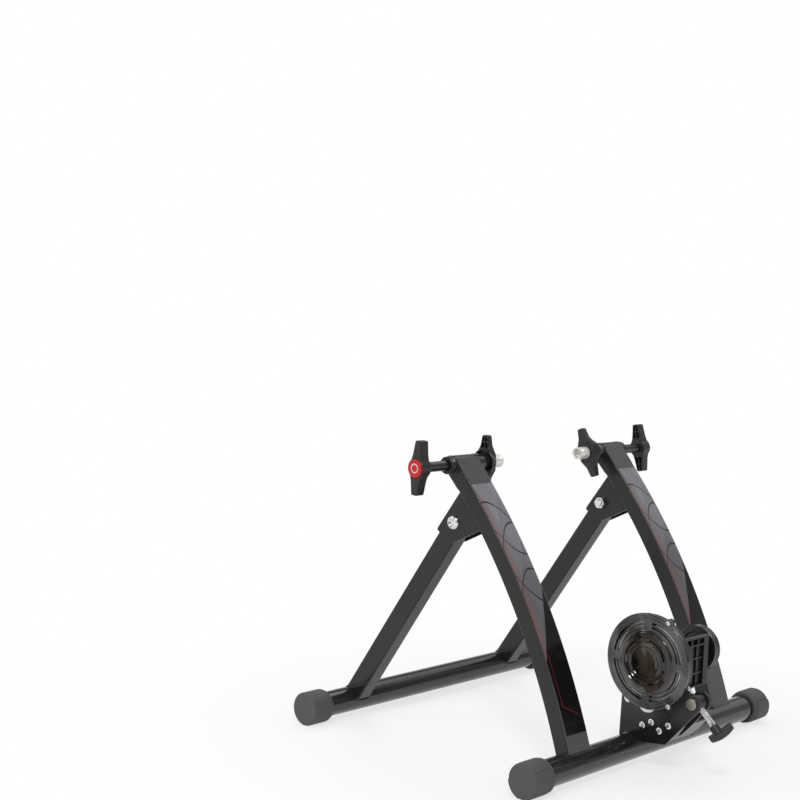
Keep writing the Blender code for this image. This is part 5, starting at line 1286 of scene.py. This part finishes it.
iron = Finish("machined_black_iron", {"IOR": 1.5}, "casting")
skin = iron.grain(700, 3)
machined = iron.from_axis(UNIT_AXIS).step(0.0304, 0.0309) * abs(iron.facing.parts()[0]).step(0.75, 0.45)
iron.feed(base_color=machined.mix((0.009, 0.009, 0.010), 0.12), metallic=machined * 0.8,
          roughness=skin * 0.12 + 0.24)
iron.relief(skin, 0.00005)

FLYWHEEL_IN, FLYWHEEL_OUT, RIM = 0.0470, 0.0600, 0.0314
BORE = 0.0053
groove = 0.0012
flywheel = turned([*raised(FLYWHEEL_OUT, (RIM - 0.0008, 0), (RIM, -0.0006), (RIM, -0.0030), (RIM - groove, -0.0035),
                           (RIM - groove, -0.0044), (RIM, -0.0049), (RIM, -0.0073), (RIM - groove, -0.0078),
                           (RIM - groove, -0.0087), (RIM, -0.0092)),
                   *raised(FLYWHEEL_IN, (RIM, 0.0008), (RIM - 0.0008, 0), (RIM * 0.74, 0), (RIM * 0.70, 0.0030),
                           (0.0095, 0.0030)), (0.0085, RIGHT_ARM + ARM + FIT), (BORE, RIGHT_ARM + ARM + FIT),
                   (BORE, FLYWHEEL_OUT - 0.0020), (RIM * 0.78, FLYWHEEL_OUT - 0.0020), (RIM * 0.80, FLYWHEEL_OUT)],
                  144)
ROLLER_RADIUS, roller_half, roller_mid = 0.0155, 0.0300, -0.0065
roller = turned([(ROLLER_RADIUS - 0.001, roller_mid + roller_half),
                 (ROLLER_RADIUS, roller_mid + roller_half - 0.001),
                 (ROLLER_RADIUS, roller_mid - roller_half + 0.001),
                 (ROLLER_RADIUS - 0.001, roller_mid - roller_half), (BORE, roller_mid - roller_half),
                 (BORE, roller_mid + roller_half)], 112)
low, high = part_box("roller_shaft")
shaft = turned([(0, low.x), (0.0044, low.x), (0.0050, low.x + 0.0006), (0.0050, high.x - 0.0006), (0.0044, high.x),
                (0, high.x)], 56)
low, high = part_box("brake_disc")
disc_back = low.x + 0.0030
brake_disc = turned([(0.0085, high.x), (0.0085, disc_back), (0.0536, disc_back), (0.0540, disc_back - 0.0004),
                     (0.0540, low.x + 0.0004), (0.0536, low.x), (BORE, low.x), (BORE, high.x)], 128)
nut_start = FLYWHEEL_OUT - 0.0020 + FIT
flywheel_nut = hexagon_nut(0.0092, BORE, nut_start, nut_start + 0.0060)
for node, mesh, finish in (("flywheel", flywheel, iron), ("roller", roller, alloy), ("roller_shaft", shaft, zinc),
                           ("brake_disc", brake_disc, alloy), ("flywheel_nut", flywheel_nut, zinc)):
    piece(f"{node}_lathe_turned", mesh, finish, "rotor", [node], (0, *UNIT_AXIS))


# Tension adjuster. A zinc-plated M8 rod screws through the trunnion; a swivel tip presses on the
# cradle's pad above, and a moulded wing knob with a boss is fixed on the lower end.

ADJUSTER_AT = (ADJUSTER_X, *TRUNNION_AXIS)
ADJUSTER_TURN = SIDE @ ON_ADJUSTER
TIP_FACE = THRUST - FIT
TIP_BASE = TIP_FACE - 0.0060
TIP_SOCKET = TIP_BASE + 0.0036
KNOB_TOP = -0.0370
GRIP_TOP = KNOB_TOP - 0.0080
GRIP_BOTTOM = GRIP_TOP - 0.0120
GRIP_HALF = 0.0175

tip = turned([*raised(TIP_FACE, (0, 0), (0.0027, -0.0003), (0.0042, -0.0009), (0.0054, -0.0018), (0.0060, -0.0030)),
              (0.0060, TIP_BASE + 0.0006), (0.0054, TIP_BASE), (0.0043, TIP_BASE), (0.0043, TIP_SOCKET),
              (0, TIP_SOCKET)], 64)
rod_low, rod_high = GRIP_BOTTOM + 0.0033, TIP_SOCKET - FIT
rod = threaded(zinc, 0.0040, rod_high - rod_low, 0.00125, 0.00045, 36)
rod.transform(Matrix.Translation((0, 0, (rod_low + rod_high) / 2)))
grip_end = 0.0084
belly = [(GRIP_HALF * (1 - i / 12), GRIP_TOP - grip_end - 0.0036 * (1 - (1 - i / 12) ** 2)) for i in range(25)]
grip = sheet([(-GRIP_HALF, GRIP_TOP), (GRIP_HALF, GRIP_TOP), *belly], 0.0090, -0.0045)
grip = bevelled(grip, 0.0016, 4)
grip.transform(Matrix.Translation((-0.0034, 0, 0)) @ Matrix.Rotation(pi / 2, 4, "X"))
boss = turned([(0, GRIP_TOP - 0.004), (0.0068, GRIP_TOP - 0.004), (0.0068, KNOB_TOP - 0.0010), (0.0060, KNOB_TOP),
               (0, KNOB_TOP)], 64)
knob = cut(joined(grip, boss), cylinder(0.0043, GRIP_BOTTOM + 0.003, KNOB_TOP + 0.01, sides=40))
knob.transform(Matrix.Rotation(radians(-56), 4, "Z"))
piece("thrust_tip_domed", tip, zinc, "adjuster_tip", ["thrust_tip"], ADJUSTER_AT, ADJUSTER_TURN)
piece("adjuster_rod_threaded", rod, zinc, "adjuster_screw", ["adjuster_rod"], ADJUSTER_AT, ADJUSTER_TURN, sharp=50)
piece("adjuster_knob_moulded", knob, nylon, "adjuster_screw", ["adjuster_knob"], ADJUSTER_AT, ADJUSTER_TURN)


# Studio. A plain pale floor that turns white away from the trainer, a soft surround and three
# large soft lamps. Reflections see the same floor as the camera, and a surround with white
# panels at the horizon, overhead and on one side.

floor_mesh = bpy.data.meshes.new("floor")
floor_mesh.from_pydata([(-40, -40, 0), (40, -40, 0), (40, 40, 0), (-40, 40, 0)], [], [(0, 1, 2, 3)])
floor = holder(floor_mesh, "floor")
ground = Finish("pale_floor", {"Roughness": 0.9, "Specular IOR Level": 0.1})
ground.feed(base_color=ground.grain(3, 2).mix(0.84, 0.88))
far_x, far_y, _ = ground.place.parts()
far_out = far_x.across(far_y).step(0.30, 0.75)
looks = ground.place.node("ShaderNodeLightPath")
seen = looks.most(looks.other("Is Glossy Ray"), looks.other("Is Transmission Ray"))
white = ground.place.node("ShaderNodeEmission", None, {"Color": (1, 1, 1, 1), "Strength": 1.0})
lit_floor = Wire(ground.material.node_tree, ground.shader.outputs[0])
sweep = white.node("ShaderNodeMixShader", None, {0: seen * (far_out * 0.30 + 0.70), 1: lit_floor, 2: white})
ground.material.node_tree.links.new(sweep.socket,
                                    ground.material.node_tree.nodes["Material Output"].inputs["Surface"])
floor_mesh.materials.append(ground.material)

world = bpy.data.worlds.new("soft_surround")
bpy.context.scene.world = world
world.use_nodes = True
sky = Wire(world.node_tree)
rays = sky.node("ShaderNodeLightPath")
glossy = rays.other("Is Glossy Ray")
way = sky.node("ShaderNodeTexCoord", out="Generated")


def towards(x, y, z):
    """How far a ray goes one way, from -1 to 1."""
    return way.node("ShaderNodeVectorMath", {"operation": "DOT_PRODUCT"}, {0: way, 1: (x, y, z)}, out=1)


horizon = abs(way.parts()[2]).step(0.42, 0.18) * towards(0.72, 0.69, 0.0).step(0.0, 0.6)
softbox = towards(0.72, -0.12, 0.68).step(0.88, 0.96)
side_panel = towards(-0.95, 0.05, 0.31).step(0.90, 0.95)
in_gloss = horizon.most(softbox, side_panel) * 0.75 + 0.25
plain = rays.most(rays.other("Is Transmission Ray"))
diffuse = 1 - plain.most(glossy)
strength = plain + glossy * in_gloss + diffuse * 0.55
background = world.node_tree.nodes["Background"]
world.node_tree.links.new(strength.socket, background.inputs["Strength"])
background.inputs["Color"].default_value = (1, 1, 1, 1)

LAMPS_AIM = Vector((0, 0, 0.2))
for name, spot, size, power in (("key", (-2.2, -1.6, 3.0), 0.8, 54), ("fill", (-2.3, 2.1, 1.5), 1.0, 18),
                                ("rim", (1.4, 0.9, 3.2), 1.8, 26)):
    lamp = bpy.data.lights.new(name, "AREA")
    lamp.size = size
    lamp.energy = power
    lit = holder(lamp, name)
    lit.location = spot
    lit.rotation_euler = (LAMPS_AIM - Vector(spot)).to_track_quat("-Z", "Y").to_euler()


# Camera. It stands behind and to the left of the trainer, a little above it, where the
# photograph was solved to have been taken from.

SENSOR = 36
FOCAL_PIXELS, FRAME_PIXELS = 1491.8, 800
CAMERA_AT = (-1.7162, -1.2810, 0.6336)

camera = holder(bpy.data.cameras.new("camera"), "camera")
bpy.context.scene.camera = camera
camera.data.sensor_width = SENSOR
camera.data.lens = SENSOR * FOCAL_PIXELS / FRAME_PIXELS
right = Vector((0.69216, -0.72094, 0.03416)).normalized()
view_ahead = Vector((0.72112, 0.68881, -0.07438)).normalized()
turn = Matrix((right, right.cross(view_ahead), -view_ahead)).transposed().to_4x4()
camera.matrix_world = Matrix.Translation(CAMERA_AT) @ turn
bpy.context.scene.view_settings.view_transform = "Standard"
